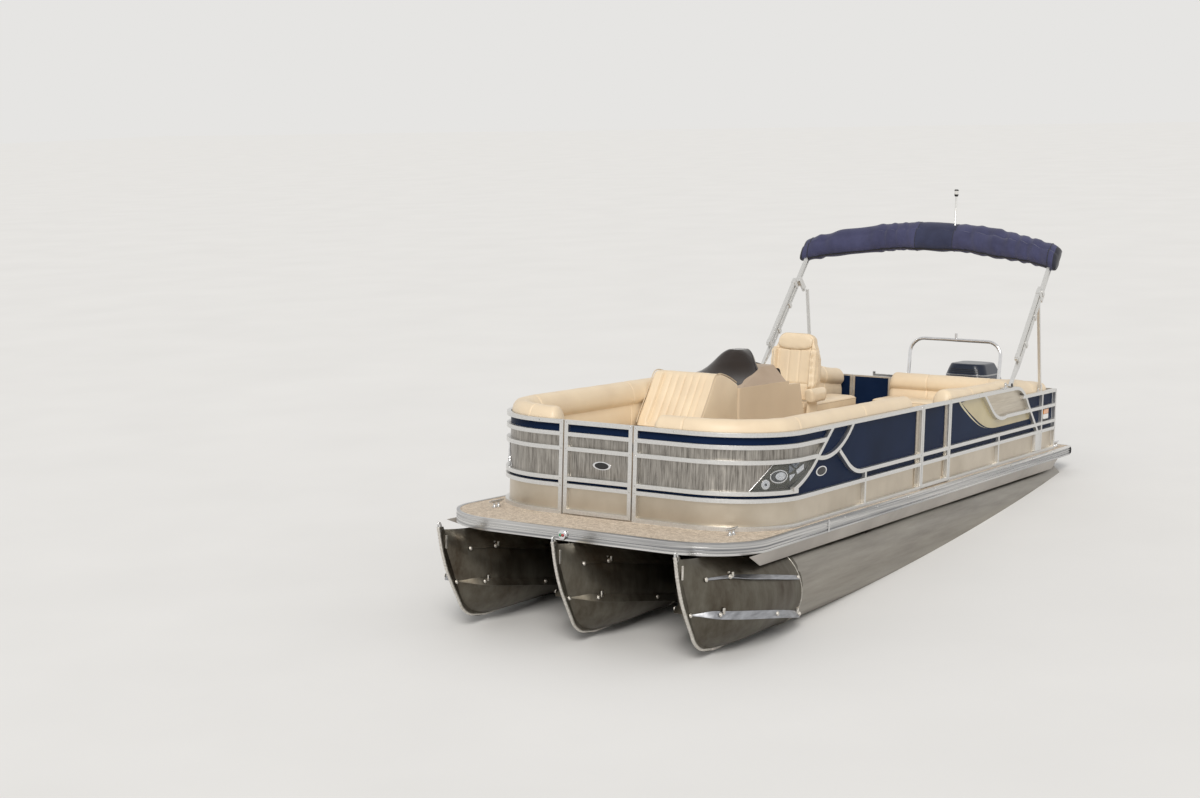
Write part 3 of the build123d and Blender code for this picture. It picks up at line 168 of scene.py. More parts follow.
class Surface:
    """A procedural material: one Principled shader with textures in the object's own coordinates."""

    def __init__(self, name, color, rough, metal=0.0, **sockets):
        self.mat = bpy.data.materials.new(name)
        self.mat.use_nodes = True
        self.tree = self.mat.node_tree
        self.shader = self.tree.nodes["Principled BSDF"]
        self.mat.diffuse_color = (*color, 1)
        self.shader.inputs["Base Color"].default_value = (*color, 1)
        self.shader.inputs["Roughness"].default_value = rough
        self.shader.inputs["Metallic"].default_value = metal
        for key, value in sockets.items():
            self.shader.inputs[key.replace("_", " ")].default_value = value

    def node(self, kind, **inputs):
        made = self.tree.nodes.new(kind)
        for key, value in inputs.items():
            made.inputs[key.replace("_", " ")].default_value = value
        return made

    def link(self, out, socket):
        self.tree.links.new(out, socket)

    def coords(self, stretch=(1, 1, 1)):
        place = self.node("ShaderNodeTexCoord")
        mapping = self.node("ShaderNodeMapping", Scale=stretch)
        self.link(place.outputs["Object"], mapping.inputs["Vector"])
        return mapping.outputs["Vector"]

    def noise(self, scale, detail=2.0, stretch=(1, 1, 1), rough=0.5):
        made = self.node("ShaderNodeTexNoise", Scale=scale, Detail=detail, Roughness=rough)
        self.link(self.coords(stretch), made.inputs["Vector"])
        return made.outputs["Fac"]

    def cells(self, scale):
        made = self.node("ShaderNodeTexVoronoi", Scale=scale)
        self.link(self.coords(), made.inputs["Vector"])
        return made.outputs["Distance"]

    def bands(self, scale, direction="X", distortion=0.0):
        made = self.node("ShaderNodeTexWave", Scale=scale, Distortion=distortion)
        made.bands_direction = direction
        self.link(self.coords(), made.inputs["Vector"])
        return made.outputs["Fac"]

    def join(self, operation, first, second):
        """Sum, product or other joining of two values or textures."""
        made = self.node("ShaderNodeMath")
        made.operation = operation
        for socket, value in zip(made.inputs, (first, second)):
            if isinstance(value, (int, float)):
                socket.default_value = value
            else:
                self.link(value, socket)
        return made.outputs[0]

    def mix(self, first, first_share, second, second_share):
        """Weighted sum of two textures."""
        first = self.join("MULTIPLY", first, first_share)
        return self.join("ADD", first, self.join("MULTIPLY", second, second_share))

    def vary(self, dark, light, fac, low=0.3, high=0.7):
        """Base colour from dark to light as fac goes from low to high."""
        ramp = self.node("ShaderNodeValToRGB")
        ramp.color_ramp.elements[0].position = low
        ramp.color_ramp.elements[0].color = (*dark, 1)
        ramp.color_ramp.elements[1].position = high
        ramp.color_ramp.elements[1].color = (*light, 1)
        self.link(fac, ramp.inputs["Fac"])
        self.link(ramp.outputs["Color"], self.shader.inputs["Base Color"])

    def gloss(self, low, high, fac):
        """Roughness from low to high with fac."""
        span = self.node("ShaderNodeMapRange", From_Min=0.3, From_Max=0.7, To_Min=low, To_Max=high)
        self.link(fac, span.inputs["Value"])
        self.link(span.outputs["Result"], self.shader.inputs["Roughness"])

    def relief(self, height, distance, strength, edge=0.0):
        """Bump from a height texture, over the bump before it or over corners softened by a radius."""
        bump = self.node("ShaderNodeBump", Strength=strength, Distance=distance)
        self.link(height, bump.inputs["Height"])
        before = self.shader.inputs["Normal"].links
        if before:
            self.link(before[0].from_socket, bump.inputs["Normal"])
        elif edge:
            bevel = self.node("ShaderNodeBevel", Radius=edge)
            bevel.samples = 4
            self.link(bevel.outputs["Normal"], bump.inputs["Normal"])
        self.link(bump.outputs["Normal"], self.shader.inputs["Normal"])


def vinyl(name, dark, light):
    """Marine vinyl with a pressed leather grain and a slight change of tone over each panel."""
    made = Surface(name, light, 0.46, Coat_Weight=0.06, Coat_Roughness=0.35)
    made.vary(dark, light, made.noise(3.5, 4))
    made.gloss(0.40, 0.52, made.noise(14, 3))
    made.relief(made.cells(620), 0.0004, 0.35)
    made.relief(made.noise(160, 3), 0.0006, 0.30)
    return made.mat


def moulded(name, dark, light, rough, coat=0.0):
    """Moulded plastic with orange peel."""
    made = Surface(name, light, rough, Coat_Weight=coat, Coat_Roughness=0.12)
    made.vary(dark, light, made.noise(2, 2))
    made.gloss(rough - 0.04, rough + 0.05, made.noise(9, 3))
    made.relief(made.noise(95, 2), 0.0006, 0.05)
    return made.mat


def woven_floor():
    """Woven vinyl floor covering: two threads that cross, flecked brown on beige."""
    made = Surface("woven_floor", (0.60, 0.50, 0.40), 0.72)
    warp = made.bands(19, "X", 0.8)
    weft = made.bands(19, "Y", 0.8)
    weave = made.join("MULTIPLY", warp, weft)
    fleck = made.noise(44, 5, rough=0.7)
    tone = made.mix(weave, 0.35, fleck, 0.75)
    made.vary((0.36, 0.285, 0.215), (0.90, 0.78, 0.64), tone, 0.34, 0.60)
    made.relief(weave, 0.0035, 0.75)
    made.relief(fleck, 0.0015, 0.40)
    return made.mat


def gloss_paint(name, dark, light, coat=1.0, rough=0.24, shine=0.5):
    """Gloss paint under clear coat, with faint orange peel."""
    made = Surface(name, light, rough, Coat_Weight=coat, Coat_Roughness=0.04, Specular_IOR_Level=shine)
    made.vary(dark, light, made.noise(2.2, 3))
    made.relief(made.noise(110, 2), 0.0004, 0.10, edge=0.002)
    return made.mat


def metal(name, dark, light, low, high, grain=(1, 1, 1), scale=60, edge=0.003, depth=0.0003):
    """Aluminium or steel with a drawn or brushed grain."""
    made = Surface(name, light, (low + high) / 2, 1.0)
    made.vary(dark, light, made.noise(scale, 5, grain, 0.6))
    made.gloss(low, high, made.noise(scale * 0.6, 4, grain))
    made.relief(made.noise(scale * 3, 3, grain), depth, 0.25, edge=edge)
    return made.mat


def weathered_tube():
    """Rolled aluminium that has stood in water: drawn grain, lengthwise streaks and dull patches."""
    made = Surface("weathered_tube", (0.46, 0.43, 0.39), 0.38, 1.0)
    streaks = made.noise(9, 6, (0.12, 1, 1.6), 0.62)
    cloud = made.noise(2.6, 5, (0.25, 1, 1.4), 0.6)
    tone = made.mix(streaks, 0.55, cloud, 0.45)
    made.vary((0.20, 0.18, 0.155), (0.43, 0.405, 0.36), tone, 0.30, 0.72)
    made.gloss(0.26, 0.50, cloud)
    made.relief(made.noise(150, 3, (0.2, 1, 1)), 0.0004, 0.30)
    made.relief(made.noise(7, 2, (0.5, 1, 1)), 0.004, 0.22)
    return made.mat


def nose_alloy_and_painted_shade():
    """Pressed nose cones: dull grey-brown alloy with streaky upright runs, kept dark as painted shade and a
    painted reflection of dark water.
    """
    made = Surface("nose_alloy_and_painted_shade", (0.20, 0.18, 0.155), 0.46, 0.9)
    runs = made.noise(11, 6, (1, 1, 0.28), 0.66)
    cloud = made.noise(3.4, 6, (1, 1, 0.8), 0.64)
    tone = made.mix(runs, 0.5, cloud, 0.5)
    # This colour range is dark partly from the alloy's own grey-brown, partly as painted shade and painted
    # reflection of dark water
    made.vary((0.060, 0.045, 0.030), (0.185, 0.175, 0.145), tone, 0.32, 0.68)
    made.gloss(0.32, 0.60, cloud)
    made.relief(made.noise(60, 4), 0.0006, 0.35)
    made.relief(made.noise(6, 2), 0.006, 0.25)
    return made.mat


def champagne():
    """Satin champagne sheet with a fine metallic flake."""
    made = Surface("champagne_sheet", (0.60, 0.53, 0.43), 0.34, 0.92)
    made.vary((0.50, 0.435, 0.345), (0.63, 0.56, 0.46), made.noise(3.0, 4))
    made.gloss(0.30, 0.40, made.noise(420, 2))
    made.relief(made.noise(5, 2, (0.4, 0.4, 1)), 0.0015, 0.10)
    return made.mat


def rigid_silver():
    """Silver sheet pressed with fine upright flutes that catch the light in streaks, with painted glints and
    painted shade along the same streaks in its colour.
    """
    made = Surface("rigid_silver", (0.60, 0.575, 0.54), 0.30, 1.0)
    flutes = made.noise(240, 3, (1, 1, 0.03), 0.6)
    glints = made.noise(34, 4, (1, 1, 0.12), 0.65)
    tone = made.mix(flutes, 0.6, glints, 0.4)
    # The base colour carries painted glints and painted shade in streaks along the flutes
    made.vary((0.13, 0.118, 0.104), (0.56, 0.53, 0.485), tone, 0.36, 0.66)
    made.gloss(0.24, 0.46, glints)
    made.relief(flutes, 0.0012, 0.60)
    return made.mat


def canvas(name, dark, light):
    """Woven acrylic canvas, sun-faded in soft patches."""
    made = Surface(name, light, 0.86, Sheen_Weight=0.25, Sheen_Roughness=0.5)
    made.vary(dark, light, made.noise(5, 5, rough=0.6))
    weave = made.join("MULTIPLY", made.bands(330, "Y"), made.bands(330, "Z"))
    made.relief(weave, 0.0004, 0.35)
    made.relief(made.noise(60, 3), 0.0010, 0.25)
    return made.mat


def smoked():
    """Smoked acrylic: dark, glossy and a little see-through."""
    made = Surface("smoked_acrylic", (0.020, 0.013, 0.010), 0.10, Alpha=0.90, Specular_IOR_Level=0.22)
    made.vary((0.016, 0.010, 0.008), (0.026, 0.018, 0.014), made.noise(3, 2))
    made.gloss(0.06, 0.14, made.noise(8, 3))
    return made.mat


def clear_lens():
    """Clear polycarbonate lens."""
    made = Surface("clear_lens", (0.30, 0.33, 0.34), 0.05, Alpha=0.10, Coat_Weight=0.5, Coat_Roughness=0.02)
    made.gloss(0.03, 0.08, made.noise(12, 2))
    return made.mat


CREAM = vinyl("cream_vinyl", (0.74, 0.60, 0.43), (0.83, 0.69, 0.50))
CREAM_BASE = moulded("cream_moulding", (0.60, 0.49, 0.35), (0.70, 0.575, 0.42), 0.42)
BEIGE_GLOSS = moulded("beige_shell", (0.66, 0.525, 0.375), (0.72, 0.585, 0.425), 0.38, 0.12)
TAUPE = moulded("taupe_shell", (0.40, 0.30, 0.215), (0.48, 0.365, 0.265), 0.48)
BLACK = moulded("black_moulding", (0.012, 0.012, 0.013), (0.022, 0.022, 0.024), 0.42)
NAVY = gloss_paint("navy_gloss", (0.0045, 0.012, 0.036), (0.0070, 0.018, 0.054), 0.01, 0.40, 0.035)
MOTOR_BLUE = gloss_paint("motor_gloss", (0.006, 0.011, 0.027), (0.010, 0.018, 0.042), 0.25, 0.32, 0.3)
ANODISED = metal("anodised_tube", (0.66, 0.655, 0.64), (0.78, 0.775, 0.76), 0.30, 0.42, scale=90)
# Polished trim whose dark and bright horizontal colour bands are painted reflections and painted shade of its
# flutes
BRIGHT_TRIM = metal("fluted_trim_painted_bands", (0.20, 0.205, 0.22), (0.86, 0.85, 0.83), 0.22, 0.36, (0.008, 0.008, 1), 62,
                    0.002)
MILL = metal("mill_alloy", (0.40, 0.39, 0.37), (0.56, 0.55, 0.53), 0.38, 0.55, (1, 0.15, 1), 40)
CHROME = metal("polished_steel", (0.74, 0.74, 0.75), (0.84, 0.84, 0.85), 0.06, 0.14, scale=25, depth=0.0001)
STAINLESS = metal("cast_stainless", (0.58, 0.58, 0.58), (0.72, 0.72, 0.72), 0.18, 0.30, scale=50)
TUBE = weathered_tube()
FLOOR_WEAVE = woven_floor()
CHAMPAGNE = champagne()
SILVER = rigid_silver()
BOOT_CANVAS = canvas("navy_canvas", (0.026, 0.028, 0.075), (0.050, 0.053, 0.125))
BOOT_PANEL = canvas("navy_canvas_panel", (0.014, 0.018, 0.050), (0.026, 0.032, 0.080))
BOOT_EDGE = canvas("navy_canvas_edge", (0.008, 0.009, 0.018), (0.016, 0.017, 0.030))
WELT = vinyl("cream_welt", (0.58, 0.47, 0.33), (0.66, 0.54, 0.39))
SMOKED = smoked()
LENS = clear_lens()
NOSE_AND_SHADE = nose_alloy_and_painted_shade()
WELD = metal("weld_bead", (0.52, 0.49, 0.44), (0.86, 0.83, 0.78), 0.30, 0.50, scale=70, depth=0.0008)
# Strake alloy lightened and tinted blue as a painted reflection of the sky, for the strakes that face out
STRAKE_LIT = metal("strake_alloy_painted_sky", (0.24, 0.245, 0.26), (0.46, 0.47, 0.50), 0.34, 0.50, (0.2, 1, 1), 30)
SKIRT = moulded("skirt_satin", (0.36, 0.33, 0.30), (0.47, 0.435, 0.395), 0.40)
GRIP = moulded("stitched_grip", (0.020, 0.019, 0.018), (0.036, 0.034, 0.032), 0.62)
BLACK_BAND = gloss_paint("black_band", (0.008, 0.008, 0.010), (0.014, 0.014, 0.016), 0.04, 0.42, 0.2)
GOLD = gloss_paint("gold_film", (0.36, 0.285, 0.125), (0.50, 0.41, 0.195), 0.6, 0.30)
GOLD_PALE = gloss_paint("pale_film", (0.50, 0.44, 0.25), (0.62, 0.555, 0.33), 0.6, 0.30)
PLATE = metal("brushed_plate", (0.52, 0.46, 0.37), (0.66, 0.60, 0.50), 0.30, 0.42, (0.05, 1, 1), 80, 0.0015)
POCKET = metal("lamp_pocket", (0.055, 0.050, 0.036), (0.105, 0.095, 0.070), 0.30, 0.45, scale=30)
REFLECTOR = metal("reflector", (0.62, 0.64, 0.68), (0.82, 0.84, 0.88), 0.06, 0.16, scale=60, depth=0.0008)
FACET = metal("lamp_facet", (0.10, 0.115, 0.145), (0.24, 0.26, 0.30), 0.16, 0.30, scale=40)
# Anodised alloy darkened and tinted beige: painted shade and painted reflection
STILE_IN_SHADE = metal("anodised_stile_in_shade", (0.46, 0.41, 0.34), (0.60, 0.54, 0.46), 0.34, 0.46, scale=60)
MOTOR_ALLOY = metal("motor_satin", (0.30, 0.30, 0.31), (0.46, 0.46, 0.47), 0.28, 0.40, scale=60)
RED_LENS = moulded("red_lens", (0.30, 0.010, 0.008), (0.42, 0.020, 0.014), 0.10, 1.0)
GREEN_LENS = moulded("green_lens", (0.006, 0.16, 0.06), (0.012, 0.26, 0.09), 0.10, 1.0)
AMBER_LENS = moulded("amber_lens", (0.60, 0.20, 0.020), (0.78, 0.28, 0.035), 0.12, 1.0)
WHITE_LENS = moulded("white_lens", (0.66, 0.66, 0.64), (0.80, 0.80, 0.78), 0.12, 1.0)

DRESS = {
    TUBE: ("pontoon_port", "pontoon_center", "pontoon_starboard"),
    MILL: ("cross_members", "tube_risers", "motor_pod"),
    FLOOR_WEAVE: ("deck_panel",),
    BRIGHT_TRIM: ("deck_trim",),
    SKIRT: ("side_skirts",),
    CHAMPAGNE: ("fence_sheets_lower",),
    STAINLESS: ("deck_cleats", "propeller", "top_mounts", "ladder_forks"),
    ANODISED: ("fence_frame_port_bow", "fence_frame_starboard_bow", "fence_frame_port_quarter",
               "fence_frame_starboard_quarter", "fence_frame_stern", "bow_gate_frame", "port_gate_frame",
               "stern_gate_frame", "brace_forks", "top_legs", "top_braces", "ladder"),
    NAVY: ("fence_sheets_navy", "fence_sheets_quarter", "bow_gate_sheets", "port_gate_sheets",
           "stern_gate_sheets"),
    SILVER: ("fence_sheets_bright",),
    CREAM_BASE: ("bow_port_seat_base", "bow_starboard_seat_base", "aft_seat_base", "aft_starboard_seat_base"),
    CREAM: ("bow_port_seat_cushion", "bow_port_seat_bolster", "bow_starboard_seat_cushion",
            "bow_starboard_seat_bolster", "chaise_back", "aft_seat_cushion", "aft_seat_bolster",
            "aft_starboard_seat_cushion", "aft_starboard_seat_bolster", "chair_seat", "chair_back",
            "chair_arms"),
    BEIGE_GLOSS: ("console",),
    TAUPE: ("dash_cowl",),
    SMOKED: ("windscreen",),
    BLACK: ("helm_wheel", "light_mast"),
    CHROME: ("chair_pedestal", "tow_bar"),
    BOOT_CANVAS: ("top_boot",),
    MOTOR_BLUE: ("motor_bracket", "motor_swivel", "motor_leg", "motor_cowl"),
}


def dress_nodes():
    """Give each CAD node its material, and the gates' sheets champagne below the low rail."""
    bare = set(nodes) - {name for names in DRESS.values() for name in names}
    assert not bare, bare
    for mat, names in DRESS.items():
        for name in names:
            mesh = nodes[name].data
            mesh.materials.clear()
            mesh.materials.append(mat)
    for name in ("bow_gate_sheets", "port_gate_sheets", "stern_gate_sheets"):
        mesh = nodes[name].data
        mesh.materials.append(CHAMPAGNE)
        for polygon in mesh.polygons:
            polygon.material_index = 1 if polygon.center.z < DECK + LOW_RAIL + 0.0001 else 0


# Mesh helpers


def turns(count):
    """Angles in even steps round a full turn."""
    return [2 * math.pi * k / count for k in range(count)]


def ring_at(middle, one, two, radius, sides):
    """Circle of points in the plane of two directions."""
    return [middle + (one * math.cos(a) + two * math.sin(a)) * radius for a in turns(sides)]


def scaled(ring, factor):
    """Ring drawn in or out from its middle, by a factor that depends on the point's index."""
    middle = sum(ring, Vector()) / len(ring)
    return [middle + (spot - middle) * factor(k) for k, spot in enumerate(ring)]


def clamp(value):
    """Value kept between 0 and 1."""
    return min(max(value, 0), 1)


def ease(value):
    """Smooth step from 0 to 1."""
    value = clamp(value)
    return value * value * (3 - 2 * value)


def dip(off, width):
    """Bell curve: 1 in the middle, fading with the distance off it."""
    return math.exp(-(off / width) ** 2)


def link_piece(name, mesh, mat, body="boat", replaces=()):
    """Link a mesh as a piece with its material and body."""
    obj = add_object(name, mesh)
    mesh.materials.append(mat)
    for polygon in mesh.polygons:
        polygon.use_smooth = True
    mesh.set_sharp_from_angle(angle=0.7)
    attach(obj, body)
    if replaces:
        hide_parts(*replaces)
    return obj


def mesh_of(name, points, faces):
    """Mesh whose faces look outward."""
    mesh = bpy.data.meshes.new(name)
    mesh.from_pydata([tuple(point) for point in points], [], faces)
    bm = bmesh.new()
    bm.from_mesh(mesh)
    bmesh.ops.recalc_face_normals(bm, faces=bm.faces)
    bm.to_mesh(mesh)
    bm.free()
    return mesh


def skin(rings, loop=False):
    """Points and faces of rings with equal counts, capped at both ends or closed in a loop."""
    count = len(rings[0])
    points = [point for ring in rings for point in ring]
    last = len(rings) if loop else len(rings) - 1
    faces = []
    for i in range(last):
        here, there = i * count, ((i + 1) % len(rings)) * count
        for j in range(count):
            k = (j + 1) % count
            faces.append((here + j, here + k, there + k, there + j))
    if not loop:
        faces.append(tuple(range(count)))
        faces.append(tuple(last * count + j for j in range(count)))
    return points, faces


def skins(groups):
    """Points and faces of several groups of rings in one mesh."""
    points, faces = [], []
    for rings in groups:
        more, added = skin(rings)
        faces += [tuple(len(points) + k for k in face) for face in added]
        points += more
    return points, faces


def swept(name, rings, mat, body="boat", replaces=(), loop=False):
    """Piece skinned over rings of points."""
    return link_piece(name, mesh_of(name, *skin(rings, loop)), mat, body, replaces)


def lengths(line):
    """Distance along a line at each of its points."""
    marks = [0.0]
    for first, second in zip(line, line[1:]):
        marks.append(marks[-1] + (second - first).length)
    return marks


def point_at(line, marks, distance):
    """Point at a distance along a line, by its marks from lengths()."""
    at = min(max(bisect.bisect_right(marks, distance) - 1, 0), len(line) - 2)
    span = marks[at + 1] - marks[at]
    return line[at].lerp(line[at + 1], (distance - marks[at]) / span if span else 0.0)


def spaced(line, steps, count):
    """Points of a line that lie whole steps of its length apart, from its start."""
    marks = lengths(line)
    return [point_at(line, marks, marks[-1] * n / steps) for n in range(count)]


def route(corners, radii, step):
    """Evenly spaced plan points along straight runs joined by arcs at the inner corners."""
    corners = [Vector(corner) for corner in corners]
    line = [corners[0]]
    for before, corner, after, radius in zip(corners, corners[1:], corners[2:], radii):
        back = (before - corner).normalized()
        ahead = (after - corner).normalized()
        half = back.angle(ahead) / 2
        reach = radius / math.tan(half)
        center = corner + (back + ahead).normalized() * radius / math.sin(half)
        start = (corner + back * reach - center).normalized()
        end = (corner + ahead * reach - center).normalized()
        steps = max(4, round(radius * (math.pi - 2 * half) / step))
        line += [center + start.slerp(end, n / steps) * radius for n in range(steps + 1)]
    line.append(corners[-1])
    steps = max(2, round(lengths(line)[-1] / step))
    return spaced(line, steps, steps + 1)


def smooth_loop(corners, count, closed=True):
    """Catmull-Rom curve through points, evenly resampled."""
    n = len(corners)
    corners = [Vector(corner) for corner in corners]
    dense = []
    for i in range(n if closed else n - 1):
        near = range(i - 1, i + 3)
        a, b, c, d = (corners[k % n if closed else min(max(k, 0), n - 1)] for k in near)
        for k in range(12):
            t = k / 12
            dense.append(0.5 * ((2 * b) + (c - a) * t + (2 * a - 5 * b + 4 * c - d) * t * t
                                + (3 * b - a - 3 * c + d) * t * t * t))
    dense.append(corners[0] if closed else corners[-1])
    return spaced(dense, count if closed else count - 1, count)


def open_curve(corners, count):
    """Smooth open line through points."""
    return smooth_loop(corners, count, closed=False)


def tube_line(line, radius, sides=8, loop=False, flat=1.0, up=UP):
    """Rings of a round or flattened cord along a line."""
    rings = []
    for i, point in enumerate(line):
        ahead = line[(i + 1) % len(line)] if loop or i + 1 < len(line) else point
        behind = line[i - 1] if loop or i else point
        along = (ahead - behind).normalized()
        across = along.cross(up)
        if across.length < 0.05:
            across = along.cross(AHEAD)
        across.normalize()
        rise = across.cross(along)
        rings.append([point + across * math.cos(a) * radius + rise * math.sin(a) * radius * flat
                      for a in turns(sides)])
    return rings


def cord(name, line, radius, mat, body="boat", loop=False, sides=8, flat=1.0, up=UP):
    """Round or flattened cord, tube or bead along a line."""
    return swept(name, tube_line(line, radius, sides, loop, flat, up), mat, body, loop=loop)


def contour(mesh, place, normal):
    """Closed line where a plane cuts a mesh: the longest loop, smoothed a little."""
    bm = bmesh.new()
    bm.from_mesh(mesh)
    cut = bmesh.ops.bisect_plane(bm, geom=whole(bm), plane_co=place, plane_no=normal)
    edges = [edge for edge in cut["geom_cut"] if isinstance(edge, bmesh.types.BMEdge)]
    ties = {}
    for edge in edges:
        for vert in edge.verts:
            ties.setdefault(vert, []).append(edge)
    loops, used = [], set()
    for edge in edges:
        if edge in used:
            continue
        used.add(edge)
        loop = list(edge.verts)
        while onward := [e for e in ties[loop[-1]] if e not in used]:
            used.add(onward[0])
            loop.append(onward[0].other_vert(loop[-1]))
        loops.append([vert.co.copy() for vert in loop])
    bm.free()
    best = max(loops, key=len)
    return [best[i - 1] * 0.25 + best[i] * 0.5 + best[i + 1] * 0.25 for i in range(len(best) - 1)]


# Soft goods


def outward(section, i, middle):
    """Direction out of a closed plane section at one of its points."""
    along = section[(i + 1) % len(section)] - section[i - 1]
    out = Vector((along.y, -along.x)).normalized()
    return -out if out.dot(section[i] - middle) < 0 else out


def padded_run(name, line, inward, profile, top_at, seams, replaces):
    """A long bolster swept along a plan line, with rounded ends, seams and light creases.

    profile holds (distance inward, height as a share of the top); top_at gives the top for a share of the
    line. Rings stand closer together at the ends and round each seam."""
    round_end, section_points = 0.075, 44
    marks = lengths(line)
    total = marks[-1]
    stops = {round(total * n / 220, 4) for n in range(221)}
    for n in range(1, 10):
        inset = round_end * (1 - math.cos(math.pi / 2 * n / 9))
        stops |= {round(inset, 4), round(total - inset, 4)}
    for seam in seams:
        for off in (0, 0.003, 0.006, 0.011, 0.02):
            stops |= {round(seam - off, 4), round(seam + off, 4)}
    rings = []
    for stop in sorted(stops):
        here = point_at(line, marks, stop)
        ahead = point_at(line, marks, min(stop + 0.01, total)) - point_at(line, marks, max(stop - 0.01, 0))
        normal = Vector((-ahead.y, ahead.x)).normalized() * inward
        near_end = min(stop, total - stop) / round_end
        swell = math.sqrt(max(1 - (1 - min(near_end, 1)) ** 2, 0.0036))
        top = top_at(stop / total)
        section = smooth_loop([(d, z * top) for d, z in profile], section_points)
        middle = sum(section, Vector((0, 0))) / len(section)
        from_seam = min(abs(stop - seam) for seam in seams)
        dent = -0.007 * dip(from_seam, 0.006)
        ring = []
        for i, spot in enumerate(section):
            pucker = 0.0016 * math.exp(-from_seam / 0.03) * math.sin(i * 1.9)
            crease = 0.0024 * noise.noise(Vector((stop * 7, i * 0.28, 3.1)))
            moved = outward(section, i, middle) * (dent + pucker + crease)
            flat = middle + (spot - middle) * swell + moved
            ring.append(Vector((*(here + normal * flat.x), DECK + flat.y)))
        rings.append(ring)
    return swept(name, rings, CREAM, replaces=replaces)


# Rolled top over a slightly recessed lower back, as (distance inward, share of the top's height)
ROLLED = ((0.030, 0.415), (0.026, 0.55), (0.024, 0.74), (0.021, 0.86), (0.034, 0.945), (0.066, 0.990),
          (0.108, 1.000), (0.152, 0.985), (0.188, 0.925), (0.200, 0.860), (0.194, 0.800), (0.172, 0.768),
          (0.166, 0.745), (0.176, 0.690), (0.180, 0.620), (0.176, 0.560), (0.160, 0.440), (0.10, 0.418))
# The same, set nearer the fence along the aft lounge
ROLLED_AFT = tuple((d - 0.021, z) for d, z in ROLLED)


def bolsters():
    """The rolled bolsters round the bow and along the stern."""
    step = 0.02
    aft_x, aft_y, helm_y, helm_aft = -3.364, 1.209, -1.230, -3.362
    high, drop = 0.772, 0.092

    def bow_line(side, x_aft, y_end):
        half = side * FENCE_HALF
        return route([(x_aft, half), (FENCE_FRONT, half), (FENCE_FRONT, y_end)], [FENCE_CORNER], step)

    def aft_top(t):
        along = t * 4.62
        return high - drop * ease((along - 1.75) / 1.15) + 0.02 * dip(along - 0.1, 0.35)

    def helm_top(t):
        return high - drop * ease((0.96 - t * 1.461) / 0.96)

    padded_run("bolster_bow_port", bow_line(1, 0.355, 0.270), -1, ROLLED,
               lambda t: 0.800 + 0.006 * math.sin(3 * t), (1.05, 2.28, 3.35), ("bow_port_seat_bolster",))
    padded_run("bolster_bow_starboard", bow_line(-1, 0.421, -0.520), 1, ROLLED, lambda t: 0.830 - 0.030 * t,
               (0.78, 2.24, 3.02), ("bow_starboard_seat_bolster",))
    aft = route([(-0.445, aft_y), (aft_x, aft_y), (aft_x, -0.498)], [0.21], step)
    padded_run("bolster_aft", aft, 1, ROLLED_AFT, aft_top, (0.62, 1.50, 2.30, 3.45, 4.10),
               ("aft_seat_bolster",))
    helm = route([(helm_aft, helm_y), (-1.901, helm_y)], [], step)
    padded_run("bolster_helm", helm, 1, ROLLED, helm_top, (0.50, 0.98), ("aft_starboard_seat_bolster",))


# Side view of the chaise back, as (x, height above the deck)
CHAISE = ((0.4215, 0.4446), (0.4210, 0.62), (0.4215, 0.775), (0.442, 0.806), (0.60, 0.868), (0.76, 0.906),
          (0.842, 0.900), (0.886, 0.862), (0.955, 0.755), (1.050, 0.622), (1.128, 0.512), (1.146, 0.470),
          (1.138, 0.4446), (0.95, 0.4426), (0.60, 0.4426))
CHAISE_LOW_Y, CHAISE_HIGH_Y = -1.033, -0.4205
CHAISE_BACK_X, CHAISE_FOOT = 0.4206, DECK + 0.4406


def chaise():
    """Chaise back against the console: upright channels on its face between two raised wings."""
    side_line = smooth_loop([(x, DECK + z) for x, z in CHAISE], 96)
    middle = Vector((0.78, DECK + 0.62))
    width = CHAISE_HIGH_Y - CHAISE_LOW_Y
    margin, channels = 0.1, 6
    count = 150
    rings = []
    for n in range(count + 1):
        share = (1 - math.cos(math.pi * n / count)) / 2 * 0.25 + n / count * 0.75
        y = CHAISE_LOW_Y + width * share
        side_gap = min(y - CHAISE_LOW_Y, CHAISE_HIGH_Y - y)
        shrink = math.sqrt(max(1 - max(1 - side_gap / 0.030, 0) ** 2, 0.004))
        wing = 1 / (1 + math.exp((side_gap - 0.095) / 0.0035))
        across = (y - CHAISE_LOW_Y - margin) / (width - 2 * margin)
        channel = abs(math.sin(math.pi * channels * across)) ** 0.55 if 0 < across < 1 else 0
        seam = -0.005 * dip(side_gap - 0.096, 0.004)
        edge = -0.030 * (1 - shrink)
        ring = []
        for i, spot in enumerate(side_line):
            face = clamp((spot.x - 0.80) / 0.06) * clamp((spot.y - CHAISE_FOOT - 0.02) / 0.04)
            dish = -0.030 * (1 - wing) * face
            swell = 0.012 * (channel - 0.8) * (1 - wing) * face
            soft = 0.0022 * noise.noise(Vector((spot.x * 9, y * 9, spot.y * 9)))
            place = spot + outward(side_line, i, middle) * (dish + swell + soft + seam + edge)
            ring.append(Vector((max(place.x, CHAISE_BACK_X), y, max(place.y, CHAISE_FOOT))))
        rings.append(ring)
    swept("chaise_pad", rings, CREAM, replaces=("chaise_back",))
    for label, y in (("port", CHAISE_HIGH_Y - 0.006), ("starboard", CHAISE_LOW_Y + 0.006)):
        line = [Vector((spot.x + (0.004 if spot.x > 0.8 else 0), y, spot.y + 0.003))
                for spot in side_line if spot.x > 0.44 and spot.y > CHAISE_FOOT + 0.02]
        line.sort(key=lambda spot: math.atan2(spot.z - DECK - 0.5, spot.x - 0.7), reverse=True)
        cord(f"chaise_welt_{label}", line, 0.0045, WELT)


